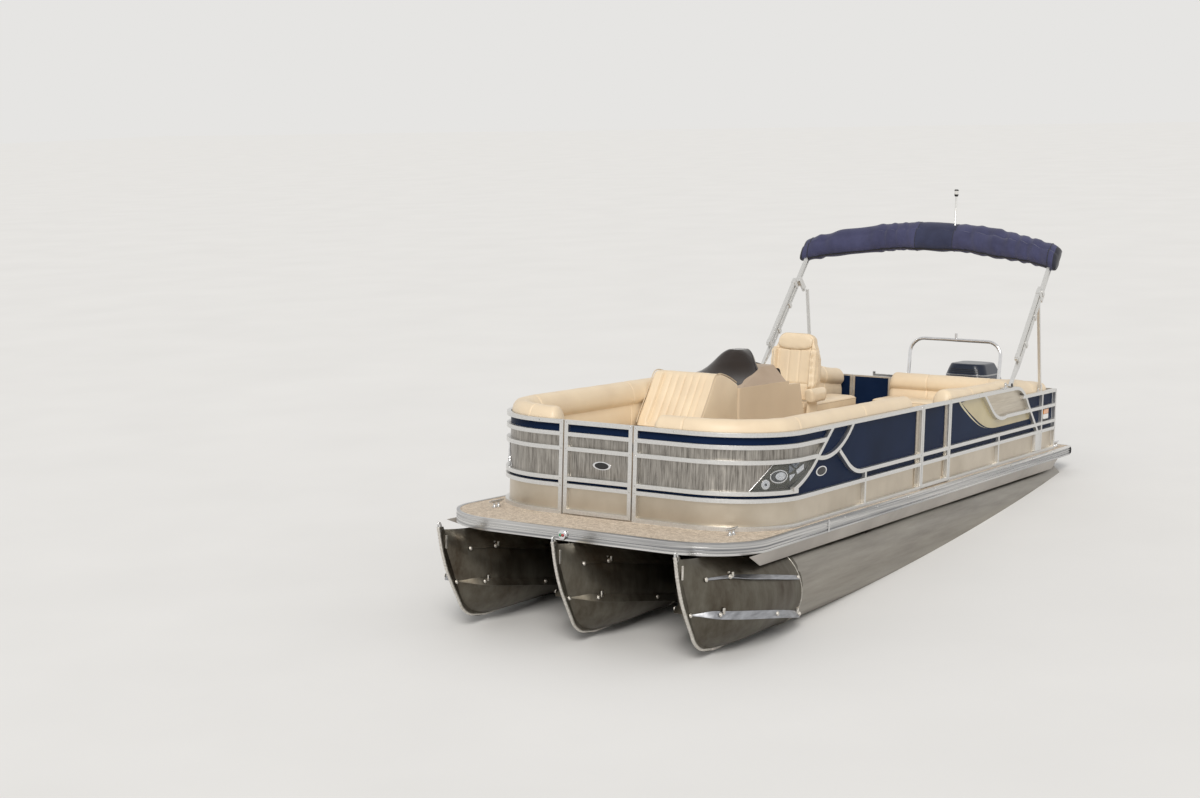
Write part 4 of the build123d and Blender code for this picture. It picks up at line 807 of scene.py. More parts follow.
class Pads:
    """Cushions puffed up by cloth simulation, all in one run of frames."""

    FRAMES = 20

    def __init__(self):
        self.waiting = []

    def add(self, name, node, voxel, cap, body="boat", shrink=0.004, fill=0.7):
        """Copy a solid, remesh it evenly, take it in a little and soften it."""
        mesh = nodes[node].data.copy()
        mesh.transform(nodes[node].matrix_world)
        obj = add_object(name, mesh)
        remesh = obj.modifiers.new("even", "REMESH")
        remesh.mode = "VOXEL"
        remesh.voxel_size = voxel
        self.bake(obj)
        normals = [vert.normal.copy() for vert in obj.data.vertices]
        for vert, normal in zip(obj.data.vertices, normals):
            vert.co -= normal * shrink
        relax = obj.modifiers.new("soften", "SMOOTH")
        relax.factor = 0.5
        relax.iterations = 10
        self.bake(obj)
        self.waiting.append((obj, node, cap, body, fill))
        return obj

    def bake(self, obj):
        """Put the result of an object's modifiers on its mesh."""
        graph = bpy.context.evaluated_depsgraph_get()
        mesh = bpy.data.meshes.new_from_object(obj.evaluated_get(graph))
        obj.modifiers.clear()
        obj.data = mesh

    def blow(self):
        """Simulate, cap how far each point moves, and put the result on the meshes."""
        starts = {}
        for obj, *_ in self.waiting:
            starts[obj.name] = [vert.co.copy() for vert in obj.data.vertices]
            cloth = obj.modifiers.new("cloth", "CLOTH").settings
            cloth.quality = 4
            cloth.mass = 0.3
            cloth.tension_stiffness = 12
            cloth.compression_stiffness = 12
            cloth.bending_stiffness = 0.5
            cloth.use_pressure = True
            cloth.uniform_pressure_force = 4
            cloth.effector_weights.gravity = 0
        for number in range(1, self.FRAMES + 1):
            bpy.context.scene.frame_set(number)
        for obj, node, cap, body, fill in self.waiting:
            self.bake(obj)
            bottom = min(spot.z for spot in starts[obj.name])
            for vert, start in zip(obj.data.vertices, starts[obj.name]):
                move = vert.co - start
                if move.length > cap:
                    vert.co = start + move.normalized() * cap
                if start.z < bottom + 0.02:
                    vert.co.z = max(vert.co.z, bottom)
            obj.modifiers.new("finer", "SUBSURF").levels = 1
            self.bake(obj)
            obj.data.materials.clear()
            obj.data.materials.append(CREAM)
            for polygon in obj.data.polygons:
                polygon.use_smooth = True
            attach(obj, body)
            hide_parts(node)
        bpy.context.scene.frame_set(1)


def groove(obj, place, normal, depth=0.006, width=0.007, only=None):
    """Press a seam into a pad where a plane crosses it."""
    normal = Vector(normal).normalized()
    place = Vector(place)
    near = []
    for vert in obj.data.vertices:
        off = (vert.co - place).dot(normal)
        if abs(off) < 4 * width and (only is None or only(vert.co)):
            near.append((vert, vert.normal.copy(), off))
    for vert, out, off in near:
        vert.co -= out * depth * dip(off, width)


def welt(name, obj, place, normal, body="boat", radius=0.0042):
    """Piping along the line where a plane crosses a pad."""
    cord(name, contour(obj.data, Vector(place), normal), radius, WELT, body, loop=True, sides=6)


def seats():
    """Seat cushions and the captain's chair, with their seams and piping."""
    coarse, middling, fine = 0.019, 0.014, 0.011
    pads = Pads()
    bow_port = pads.add("cushion_bow_port", "bow_port_seat_cushion", coarse, 0.012)
    bow_star = pads.add("cushion_bow_starboard", "bow_starboard_seat_cushion", coarse, 0.012)
    aft = pads.add("cushion_aft", "aft_seat_cushion", coarse, 0.012)
    helm = pads.add("cushion_helm", "aft_starboard_seat_cushion", middling, 0.012)
    seat = pads.add("chair_seat_pad", "chair_seat", fine, 0.014, "captain_chair", 0.006)
    back = pads.add("chair_back_pad", "chair_back", fine, 0.016, "captain_chair", 0.007, 0.8)
    pads.add("chair_arm_pads", "chair_arms", fine, 0.010, "captain_chair", 0.004, 0.85)
    pads.blow()
    for pad, places in ((bow_port, (1.05, 1.78, 2.42)), (bow_star, (1.47, 2.20, 2.84)),
                        (aft, (-1.15, -1.86, -2.57)), (helm, (-2.23, -2.57))):
        for x in places:
            groove(pad, (x, 0, 0), AHEAD)
    for y in (0.55, -0.08):
        groove(aft, (0, y, 0), PORT, only=lambda co: co.x < -2.8)
    for pad in (bow_port, bow_star, aft, helm):
        welt(pad.name + "_welt", pad, (0, 0, DECK + 0.4183), UP)
    welt("chair_seat_welt", seat, (0, 0, DECK + 0.452), UP, "captain_chair")
    groove(seat, (CHAIR_X + 0.12, 0, 0), AHEAD, 0.006, 0.008, lambda co: co.z > DECK + 0.44)

    foot = Vector((CHAIR_X - 0.12, CHAIR_Y, DECK + 0.48))
    half_panel, half_channel = 0.165, 0.055
    low_seam, high_seam = 0.18, 0.52

    def front(co):
        return (co - foot).dot(CHAIR_FACE) > -0.05

    welt("chair_back_welt", back, foot - CHAIR_FACE * 0.018, CHAIR_FACE, "captain_chair", 0.005)
    for y in (-half_panel, half_panel):
        groove(back, (0, CHAIR_Y + y, 0), PORT, 0.010, 0.009, lambda co: front(co) and co.z < DECK + 1.02)
    groove(back, foot + UP * high_seam, CHAIR_RISE, 0.009, 0.009, front)
    groove(back, foot + UP * low_seam, CHAIR_RISE, 0.008, 0.009,
           lambda co: front(co) and abs(co.y - CHAIR_Y) < half_panel + 0.005)
    for y in (-half_channel, half_channel):
        groove(back, (0, CHAIR_Y + y, 0), PORT, 0.006, 0.008,
               lambda co: front(co) and DECK + 0.66 < co.z < DECK + 1.0)


def power(value, exponent):
    """Signed power, which fattens or flattens a circle's sine or cosine."""
    return math.copysign(abs(value) ** exponent, value)


BOOT_HALF = 1.362


def boot():
    """Navy boot round the stowed top: one wrinkled canvas tube with tapered ends and a zip below."""
    count, sides = 260, 60
    rings, zip_line = [], []
    for n in range(count + 1):
        y = BOOT_HALF * (2 * n / count - 1)
        share = (y / BOOT_HALF) ** 2
        centre, tall, wide = 1.826 - 0.250 * share, 0.164 - 0.030 * share, 0.122 - 0.014 * share
        end = min(1, (BOOT_HALF - abs(y)) / 0.11)
        pinch = 0.34 + 0.66 * math.sqrt(max(1 - (1 - end) ** 2, 0))
        phase = 11 * noise.noise(Vector((y * 1.7, 0.3, 0.9)))
        ring = []
        for angle in turns(sides):
            across, rise = math.cos(angle), math.sin(angle)
            below, above = max(0.0, -rise), max(0.0, rise)
            a = power(across, 0.86) * wide * pinch * (0.80 + 0.20 * rise if rise > 0 else 1 + 0.10 * rise)
            b = power(rise, 0.92) * tall * (0.80 + 0.20 * pinch)
            gather = math.sin(34 * y + phase + 0.6 * across) * (0.25 + 0.75 * min(abs(y) / 0.8, 1))
            gather *= (1 - 0.8 * below ** 3) * (1 - 0.55 * above)
            fine = math.sin(61 * y + 2.3 * phase + 3 * angle) * 0.4
            drape = noise.noise(Vector((y * 4.2, angle * 0.8, 5.5)))
            slack = 0.0125 * gather + 0.0050 * fine + 0.0085 * drape
            ridge = 0.010 * dip(angle - 1.9, 0.16) + 0.007 * above ** 8
            out = Vector((across, rise)).normalized() * (slack + ridge - 0.006)
            sag = -0.006 * below * math.cos(9 * y)
            ring.append(TOP_PIVOT + PORT * y + TOP_FRONT * (a + out.x) + TOP_UP * (centre + b + out.y + sag))
        rings.append(ring)
        zip_line.append(ring[int(sides * 0.75)] - TOP_UP * 0.002)
    piece = swept("boot_canvas", rings, BOOT_CANVAS, "folding_top", ("top_boot",))
    mesh = piece.data
    mesh.materials.append(BOOT_PANEL)
    mesh.materials.append(BOOT_EDGE)
    for polygon in mesh.polygons:
        y = polygon.center.y
        if abs(y - 0.05) < 0.20:
            polygon.material_index = 1
        if abs(y) > BOOT_HALF - 0.035:
            polygon.material_index = 2
    cord("boot_zip", zip_line[6:-6], 0.011, BLACK, "folding_top", sides=6, flat=0.6)
    port_seam, starboard_seam = (round((y / BOOT_HALF + 1) / 2 * count) for y in (0.25, -0.15))
    for name, n, radius in (("seam_port", port_seam, 0.0035), ("seam_starboard", starboard_seam, 0.0035),
                            ("hem_port", count - 8, 0.005), ("hem_starboard", 8, 0.005)):
        cord(f"boot_{name}", rings[n], radius, BOOT_EDGE, "folding_top", loop=True, sides=6,
             up=PORT)


# Small parts


def rounded(corners, radius, steps=5):
    """Closed outline with each corner eased by a curve."""
    corners = [Vector(corner) for corner in corners]
    out = []
    for i, corner in enumerate(corners):
        start, stop = (corner + (end - corner).normalized() * min(radius, 0.45 * (end - corner).length)
                       for end in (corners[i - 1], corners[(i + 1) % len(corners)]))
        for k in range(steps + 1):
            t = k / steps
            out.append(start * (1 - t) ** 2 + corner * 2 * t * (1 - t) + stop * t * t)
    return out


def oblong(x, z, radius=0.006, steps=5):
    """Outline of a box with eased corners, from its two ends along each axis."""
    return rounded([(x[0], z[0]), (x[1], z[0]), (x[1], z[1]), (x[0], z[1])], radius, steps)


def oval(x, z, wide, tall, count=36):
    """Outline of an ellipse, from its middle and half sizes."""
    return [(x + wide * math.cos(a), z + tall * math.sin(a)) for a in turns(count)]


def offset(line, distance):
    """An open line moved sideways, to its left where the distance is positive."""
    out = []
    for i, point in enumerate(line):
        ahead = Vector(line[min(i + 1, len(line) - 1)]) - Vector(line[max(i - 1, 0)])
        out.append(Vector(point) + Vector((-ahead.y, ahead.x)).normalized() * distance)
    return out


def slab(name, outline, thick, edge, mapping, cuts=()):
    """Thicken a flat outline, ease its front edges, and carry every point through a mapping."""
    bm = bmesh.new()
    face = bm.faces.new([bm.verts.new((x, z, 0)) for x, z in outline])
    made = bmesh.ops.extrude_face_region(bm, geom=[face])["geom"]
    raised = [part for part in made if isinstance(part, bmesh.types.BMVert)]
    bmesh.ops.translate(bm, vec=(0, 0, thick), verts=raised)
    if edge:
        rim = [part for part in made if isinstance(part, bmesh.types.BMEdge)]
        bmesh.ops.bevel(bm, geom=rim, offset=min(edge, thick * 0.45), segments=2, affect="EDGES", profile=0.6)
    for cut in cuts:
        bmesh.ops.bisect_plane(bm, geom=whole(bm), plane_co=(cut, 0, 0), plane_no=AHEAD)
    bmesh.ops.triangulate(bm, faces=[face for face in bm.faces if len(face.verts) > 4])
    for vert in bm.verts:
        vert.co = mapping(*vert.co)
    bmesh.ops.recalc_face_normals(bm, faces=bm.faces)
    mesh = bpy.data.meshes.new(name)
    bm.to_mesh(mesh)
    bm.free()
    return mesh


def plate(name, outline, place, across, up, thick, mat, body="boat", edge=0.0015):
    """Flat piece in a plane, thickened towards across x up."""
    across, up, place = Vector(across).normalized(), Vector(up), Vector(place)
    out = across.cross(up)
    mesh = slab(name, outline, thick, edge, lambda x, z, o: place + across * x + up * z + out * o)
    return link_piece(name, mesh, mat, body)


def on_fence(side, s, high, out):
    """Point by its distance along the fence from the start of the bow corner, its height and how far out."""
    angle = s / FENCE_CORNER
    quarter = math.pi / 2
    if s < 0:
        x, y = s, FENCE_CORNER + out
    elif angle < quarter:
        x, y = (FENCE_CORNER + out) * math.sin(angle), (FENCE_CORNER + out) * math.cos(angle)
    else:
        x, y = FENCE_CORNER + out, -(s - FENCE_CORNER * quarter)
    return Vector((CORNER_X + x, side * (FENCE_HALF - FENCE_CORNER + y), DECK + high))


def from_corner(line):
    """Points given as (x, height), as (distance along the fence, height)."""
    return [(x - CORNER_X, high) for x, high in line]


def fence_plate(name, outline, side, out, thick, mat, body="boat", edge=0.001):
    """Plate that follows the fence, its outline in distance along and height."""
    step = 0.03
    low, high = min(s for s, _ in outline), max(s for s, _ in outline)
    cuts = [low + step * n for n in range(1, int((high - low) / step) + 1)] if high > 0 else []
    mesh = slab(name, outline, thick, edge, lambda s, z, o: on_fence(side, s, z, out + o), cuts)
    return link_piece(name, mesh, mat, body)


def lathe(name, profile, place, axis, mat, body="boat", sides=28, replaces=()):
    """Turned piece; the profile holds (radius, distance along the axis)."""
    axis = Vector(axis).normalized()
    one = axis.orthogonal().normalized()
    two = axis.cross(one)
    rings = [ring_at(Vector(place) + axis * along, one, two, radius, sides) for radius, along in profile]
    return swept(name, rings, mat, body, replaces)


# Domed head on a washer, as (share of the radius, rise in radii)
STUD = ((1.0, 0.0), (1.0, 0.14), (0.72, 0.18), (0.70, 0.42), (0.45, 0.60), (0.12, 0.66))


def studs(name, spots, radius, mat, body="boat", sides=10):
    """Domed fastener heads on washers, each with its place and the way it faces."""
    groups = []
    for place, out in spots:
        place, out = Vector(place), Vector(out).normalized()
        one = out.orthogonal().normalized()
        groups.append([ring_at(place + out * radius * rise, one, out.cross(one), radius * share, sides)
                       for share, rise in STUD])
    return link_piece(name, mesh_of(name, *skins(groups)), mat, body)


# Docking light, as (distance along the fence from the start of the bow corner, height)
LAMP_SHAPE = ((0.505, 0.290), (0.14, 0.290), (0.05, 0.305), (-0.05, 0.345), (-0.15, 0.41), (-0.235, 0.470),
              (-0.235, 0.4838), (0.318, 0.4838))
LAMP_FACETS = (((0.155, 0.405), (0.150, 0.470), (0.085, 0.430)),
               ((0.140, 0.345), (0.150, 0.395), (0.070, 0.400)),
               ((0.075, 0.437), (0.135, 0.476), (0.010, 0.477)),
               ((0.052, 0.392), (0.060, 0.428), (-0.055, 0.462), (-0.062, 0.420)))
# Its round parts: name, middle along and up, half width and height, distance out, thickness, material
LAMP_PARTS = (("ring", 0.378, 0.338, 0.037, 0.037, 0.0014, 0.010, CHROME),
              ("core", 0.378, 0.338, 0.026, 0.026, 0.0100, 0.0035, REFLECTOR),
              ("eye", 0.378, 0.338, 0.010, 0.010, 0.0130, 0.0030, BLACK),
              ("bowl", 0.255, 0.390, 0.088, 0.050, 0.0014, 0.008, CHROME),
              ("well", 0.258, 0.391, 0.077, 0.041, 0.0085, 0.0020, BLACK),
              ("mirror", 0.245, 0.393, 0.050, 0.030, 0.0100, 0.0030, REFLECTOR))
# Lines of the swept bands and of the framed plate's aft end, as (x, height)
SWEEP_EDGE = ((-0.700, 0.692), (-0.791, 0.652), (-0.95, 0.578), (-1.149, 0.493), (-1.28, 0.445),
              (-1.406, 0.409), (-1.53, 0.390), (-1.663, 0.381), (-2.0, 0.380), (-2.655, 0.382))
SWEEP_INNER = ((-1.262, 0.700), (-1.360, 0.630), (-1.480, 0.545), (-1.600, 0.493), (-1.740, 0.463),
               (-1.900, 0.455), (-2.612, 0.455))
SWEEP_LINE = ((-0.655, 0.684), (-0.742, 0.625), (-0.985, 0.510), (-1.20, 0.427), (-1.36, 0.389),
              (-1.475, 0.374))
PLATE_END = ((-2.612, 0.455), (-2.52, 0.52), (-2.44, 0.585), (-2.33, 0.648), (-2.20, 0.690), (-2.14, 0.700))


def badge(size):
    """Outer and inner layers of an oval badge: name, share of its size, material, thickness."""
    return (("rim", 1.0, CHROME, 0.004), ("face", size, BLACK, 0.0052))


def docking_light(label, side):
    """Lamp pocket in the bow corner: round lamps, facets between them, a bright edge and a clear cover."""
    outline = rounded(LAMP_SHAPE, 0.012, 3)
    fence_plate(f"lamp_pocket_{label}", outline, side, ON_SKIN, 0.0010, POCKET)
    for part, s, high, wide, tall, base, deep, mat in LAMP_PARTS:
        fence_plate(f"lamp_{part}_{label}", oval(s, high, wide, tall, 30), side, SKIN + base, deep, mat,
                    edge=0.0035)
    for n, shape in enumerate(LAMP_FACETS):
        fence_plate(f"lamp_facet_{n}_{label}", rounded(shape, 0.004, 2), side, SKIN + 0.0014,
                    0.005 + 0.002 * n, REFLECTOR if n % 2 else FACET, edge=0.002)
    line = [on_fence(side, 0.505 - 0.187 * n / 12, 0.292 + 0.190 * n / 12, SKIN + 0.004) for n in range(13)]
    cord(f"lamp_edge_{label}", line, 0.0045, CHROME, sides=8)
    cover = rounded([(s * 0.985 + 0.002, high) for s, high in outline], 0.004, 1)
    fence_plate(f"lamp_cover_{label}", cover, side, SKIN + 0.0165, 0.0012, LENS, edge=0.0004)


def sweeps(label, side):
    """Swept bands and the framed plate on the aft part of the fence's side."""
    outer = from_corner(open_curve(SWEEP_EDGE, 60))
    inner_line = open_curve(SWEEP_INNER, 50)
    inner = from_corner(inner_line)
    # Black band under the gold film: it shows as a strip along the sweep's outer edge and as a dark strip
    # beside the frame rail
    fence_plate(f"sweep_edge_{label}", outer + inner[::-1], side, ON_SKIN, 0.0005, BLACK_BAND,
                edge=0)
    gold = offset(outer, 0.017)[1:] + offset(inner, -0.031)[::-1]
    fence_plate(f"sweep_gold_{label}", gold, side, SKIN + 0.0008, 0.0004, GOLD, edge=0)
    line = from_corner(open_curve(SWEEP_LINE, 40))
    width = Vector((-0.046, 0.004))
    tail = [Vector(p) + width * (1 - i / (len(line) - 1)) ** 0.8 for i, p in enumerate(line)]
    fence_plate(f"sweep_line_{label}", line + tail[:-1][::-1], side, ON_SKIN, 0.0006, GOLD_PALE,
                edge=0)
    framed = from_corner([*inner_line, *PLATE_END])
    fence_plate(f"name_plate_{label}", framed, side, SKIN + 0.0014, 0.0020, PLATE)
    post = from_corner(oblong((-2.945, -2.790), (0.0335, 0.2035), 0.002))
    fence_plate(f"post_panel_{label}", post, side, ON_SKIN, 0.0305, ANODISED)


def fence_trimmings():
    """Silver bands and badge of the bow gate; docking lights, badges and sweeps of the sides."""
    place = Vector((FENCE_FRONT + ON_SKIN, 0, DECK))
    band = 0.0012
    for label, low, high in (("low", 0.2895, 0.4835), ("high", 0.5165, 0.5935)):
        plate(f"gate_band_{label}", oblong((-0.4015, 0.1215), (low, high), 0.001), place, PORT, UP, band,
              SILVER, "bow_gate")
    for part, size, mat, deep in badge(0.78):
        outline = oval(-0.118, 0.391, 0.078 * size, 0.032 * size)
        plate(f"gate_badge_{part}", outline, place + AHEAD * band, PORT, UP, deep, mat,
              "bow_gate")
    for label, side in SIDES:
        docking_light(label, side)
        for part, size, mat, deep in badge(0.80):
            outline = oval(2.264 - CORNER_X, 0.370, 0.098 * size, 0.038 * size)
            fence_plate(f"side_badge_{part}_{label}", outline, side, ON_SKIN, deep, mat,
                        edge=0.002)
        sweeps(label, side)


def gate_stiles():
    """Flat stiles beside the posts of the port gate, behind the rails, in anodised alloy coloured darker and
    beige as painted shade and painted reflection.
    """
    for label, aft, fore, body in (("fence", 0.296, 0.354, "boat"), ("gate", -0.370, -0.316, "port_gate")):
        outline = from_corner(oblong((aft, fore), (0.030, 0.690), 0.002))
        fence_plate(f"stile_{label}", outline, 1, ON_SKIN, 0.010, STILE_IN_SHADE, body, 0.003)


def rivets():
    """Fastener heads where the rails cross their posts and on the bow gate."""
    spots = []
    every = (FOOT_RAIL, LOW_RAIL, MID_RAIL, TOP_RAIL)
    bow_post = (FOOT_RAIL, LOW_RAIL, 0.273, 0.500, 0.610, TOP_RAIL)
    for side, near_gate in ((1, -0.400), (-1, 0.243)):
        posts = ((0.281, every), (1.465, (LOW_RAIL,)), (-1.700, (LOW_RAIL,)), (-2.960, (LOW_RAIL, MID_RAIL)),
                 (-3.384, (LOW_RAIL, MID_RAIL, 0.600)), (2.40, (TOP_RAIL,)), (1.20, (TOP_RAIL,)),
                 (-1.10, (TOP_RAIL,)), (near_gate, every))
        spots += [((x, side * (FENCE_HALF + RAIL / 2), DECK + level), PORT * side)
                  for x, levels in posts for level in levels]
    front = FENCE_FRONT + RAIL / 2
    for y, levels in ((0.182, bow_post), (-0.462, bow_post), (0.50, (TOP_RAIL,)), (-0.66, (TOP_RAIL,))):
        spots += [((front, y, DECK + level), AHEAD) for level in levels]
    studs("rail_rivets", spots, 0.0052, STAINLESS)
    gate = [((front, y, DECK + level), AHEAD)
            for y in (-0.418, 0.138) for level in (LOW_RAIL, 0.500, TOP_RAIL)]
    studs("gate_rivets", gate, 0.0045, STAINLESS, "bow_gate")


def trim_parts():
    """Bolts, joints and corner bumpers of the deck's trim."""
    aft_edge, bolt_z = -3.840, DECK - 0.011
    first, spacing = -3.225, 0.649
    bolts = [((first + spacing * n, side * DECK_EDGE, bolt_z), PORT * side)
             for n in range(9) for side in (1, -1)]
    bolts += [((aft_edge, y, bolt_z), -AHEAD) for y in (-1.1, -0.36, 0.36, 1.1)]
    studs("trim_bolts", bolts, 0.0085, STAINLESS, sides=12)
    for label, side in SIDES:
        aft, edge = aft_edge - 0.0015, side * DECK_EDGE
        plate(f"trim_joint_{label}", oblong((-0.013, 0.013), (-0.090, 0.003), 0.003), (2.266, edge, DECK),
              AHEAD * -side, UP, 0.0024, STAINLESS)
        line = route([(-3.795, edge), (aft, edge), (aft, side * 1.235)], [0.055], 0.006)
        line = [Vector((p.x, p.y, DECK - 0.044)) for p in line]
        cord(f"corner_bumper_{label}", line, 0.010, BLACK, sides=12, flat=3.6)


def lamps():
    """Red and green light on the bow's trim, and the light clusters on the stern's sides."""
    bow_y, bow_z = -0.091, DECK - 0.048
    lathe("bow_light_base", [(0.040, 0), (0.040, 0.005), (0.036, 0.012), (0.028, 0.017)],
          (3.8402, bow_y, bow_z), AHEAD, CHROME)
    for label, y, mat in (("red", bow_y + 0.010, RED_LENS), ("green", bow_y - 0.010, GREEN_LENS)):
        lathe(f"bow_light_{label}", [(0.012, 0), (0.012, 0.007), (0.009, 0.012), (0.003, 0.0145)],
              (3.856, y, bow_z), AHEAD, mat, sides=18)
    for label, side in SIDES:
        outline = from_corner(oblong((-3.235, -3.010), (0.318, 0.440), 0.014))
        fence_plate(f"stern_lamp_frame_{label}", outline, side, ON_SKIN, 0.010, BLACK,
                    edge=0.003)
        for part, low, high, mat in (("amber", 0.380, 0.428, AMBER_LENS),
                                     ("clear", 0.330, 0.378, WHITE_LENS)):
            outline = from_corner(oblong((-3.205, -3.055), (low, high), 0.010))
            fence_plate(f"stern_lamp_{part}_{label}", outline, side, SKIN + 0.0100, 0.008, mat,
                        edge=0.003)


# Leg of a cleat, as (radius, height)
CLEAT_LEG = ((0.020, 0.0), (0.020, 0.004), (0.012, 0.010), (0.0085, 0.024), (0.0095, 0.044))


def cleats():
    """Horn cleats on the deck's corners."""
    for n, (x, y) in enumerate(((3.330, 1.010), (3.330, -1.010), (-3.620, 1.190), (-3.620, -1.190))):
        shares = [k / 10 - 1 for k in range(21)]
        line = [Vector((x + 0.095 * t, y, DECK + 0.045 + 0.006 * t * t)) for t in shares]
        horn = [scaled(ring, lambda k: 1.05 - 0.55 * abs(t) ** 3)
                for ring, t in zip(tube_line(line, 0.0105, 12), shares)]
        legs = [[ring_at(Vector((x + leg, y, DECK + z)), AHEAD, PORT, radius, 14) for radius, z in CLEAT_LEG]
                for leg in (-0.028, 0.028)]
        name = f"horn_cleat_{n}"
        link_piece(name, mesh_of(name, *skins([horn, *legs])), STAINLESS,
                   replaces=("deck_cleats",))


def tree_of(mesh):
    """Search tree of a mesh's faces, for rays."""
    points = [vert.co[:] for vert in mesh.vertices]
    return BVHTree.FromPolygons(points, [tuple(polygon.vertices) for polygon in mesh.polygons])


# Strakes of a tube, as (x, height, drop of the lip), and the bead up its leading edge, as (x, height)
STRAKE_LOW = ((3.905, 0.094, 0.004), (3.86, 0.106, 0.022), (3.80, 0.118, 0.048), (3.65, 0.104, 0.052),
              (3.40, 0.075, 0.052), (3.10, 0.030, 0.050), (2.86, -0.014, 0.048), (2.72, -0.042, 0.044))
STRAKE_HIGH = ((3.865, 0.352, 0.008), (3.80, 0.354, 0.012), (3.629, 0.350, 0.016), (3.459, 0.334, 0.026),
               (3.20, 0.300, 0.027), (2.95, 0.262, 0.026), (2.80, 0.238, 0.024))
STEM = ((3.30, -0.2085), (3.48, -0.2140), (3.61, -0.2010), (3.715, -0.1800), (3.805, -0.1230),
        (3.860, -0.0450), (3.950, 0.0900), (4.022, 0.2150), (4.085, 0.3700), (4.128, 0.5280))
# Each strake's reach, the points of its line with weld beads, and those with brackets of a half width
STRAKES = (("lower", STRAKE_LOW, 0.040, (0, 4, 21, 33), ((5, 0.012), (33, 0.012))),
           ("upper", STRAKE_HIGH, 0.045, (0, 7, 33), ((8, 0.010),)))
# Tow eye: its middle on a tube's centre plane, half width and half height
EYE, EYE_WIDE, EYE_TALL = Vector((4.112, 0, 0.530)), AHEAD * 0.017, Vector((0.010, 0, 0.034))
TUBE_Y = 0.985
TUBE_Z, TUBE_RADIUS = 0.1275, 0.3175
NOSE_X = 2.73


def hulls():
    """Strakes, brackets, seam beads, leading-edge beads and eyes on the three tubes."""
    for label, middle_y in (("port", TUBE_Y), ("center", 0.0), ("starboard", -TUBE_Y)):
        mesh = nodes[f"pontoon_{label}"].data
        tree = tree_of(mesh)
        # Nose polygons take the nose colour, which carries painted shade and painted reflection as well as
        # the alloy's tone
        mesh.materials.append(NOSE_AND_SHADE)
        for polygon in mesh.polygons:
            polygon.material_index = 1 if polygon.center.x > NOSE_X else 0
        for way, side in SIDES:

            def out_at(x, z):
                """The tube's face towards this side, as the distance from the boat's middle to that side."""
                spot = tree.ray_cast(Vector((x, middle_y + side * 0.6, z)), PORT * -side)[0]
                return side * (spot.y if spot else middle_y + side * 0.01)

            for kind, table, reach, welds, brackets in STRAKES:
                rings = []
                line = open_curve(table, 34)
                for x, z, tall in line:
                    high, low = out_at(x, z), out_at(x, z - tall)
                    lip = max(high, low) + reach * tall / 0.05
                    rings.append([Vector((x, side * out, level)) for out, level in (
                        (high - 0.004, z), (high + 0.002, z + 0.003), (lip - 0.001, z - tall + 0.004),
                        (lip, z - tall), (lip - 0.003, z - tall - 0.002), (low - 0.004, z - tall))])
                # Outward-facing strakes of the outer tubes take the lit strake colour; all others take the
                # nose colour as painted shade
                outboard = middle_y * side > 0
                swept(f"strake_{kind}_{label}_{way}", rings, STRAKE_LIT if outboard else NOSE_AND_SHADE)
                beads = []
                for x, z, tall in (line[at] for at in welds):
                    out = max(out_at(x, z), out_at(x, z - tall))
                    beads.append(((x, side * (out + (0.010 if tall < 0.03 else 0.030)), z - tall * 0.4),
                                  (0.25, side, 0.2)))
                studs(f"weld_{kind}_{label}_{way}", beads, 0.017, WELD, sides=8)
                for at, wide in brackets:
                    x, z, tall = line[at]
                    plate(f"bracket_{kind}_{at}_{label}_{way}", oblong((-wide, wide), (-0.020, 0.026), 0.004),
                          (x, out_at(x, z) + side * 0.012, z), AHEAD * -side, UP, 0.010, WELD,
                          edge=0.003)
            tip_out = max(out_at(4.045, z) - side * middle_y for z in (0.37, 0.41, 0.45))
            plate(f"tip_bracket_{label}_{way}", oblong((-0.010, 0.010), (0.362, 0.462), 0.006),
                  (4.044, middle_y + side * tip_out, 0), (-side, 0.25, 0), UP, 0.006, WELD)
        bead = tube_line(open_curve([(x, middle_y, z) for x, z in STEM], 90), 0.0125, 10)
        rings = [scaled(ring, lambda k: 1.10 if i % 2 else 0.92) for i, ring in enumerate(bead)]
        swept(f"stem_bead_{label}", rings, WELD)
        eye = [EYE + PORT * middle_y + EYE_WIDE * math.cos(a) + EYE_TALL * math.sin(a) for a in turns(28)]
        cord(f"tow_eye_{label}", eye, 0.0075, STAINLESS, loop=True, sides=10, up=PORT)
        seam = []
        for a in turns(72):
            way_out = Vector((0, math.cos(a), math.sin(a)))
            x = NOSE_X + 0.005 + 0.20 * (TUBE_Z + TUBE_RADIUS * math.sin(a) - 0.112)
            spot = tree.ray_cast(Vector((x, middle_y, TUBE_Z)) + way_out * 0.6, -way_out)[0]
            seam.append(spot + way_out * 0.0005)
        cord(f"nose_seam_{label}", seam, 0.0052, WELD, loop=True, sides=8, flat=0.7, up=AHEAD)


# Middle of the wheel's rim and its axis, the middle of the gauge panel and the foot of the throttle
WHEEL = Vector((-0.710, CHAIR_Y, 1.320))
WHEEL_AXIS = Vector((-0.906308, 0, 0.422618))
GAUGES = Vector((-0.6205, CHAIR_Y, DECK + 0.815))
THROTTLE = Vector((-0.700, -1.135, DECK + 0.7243))


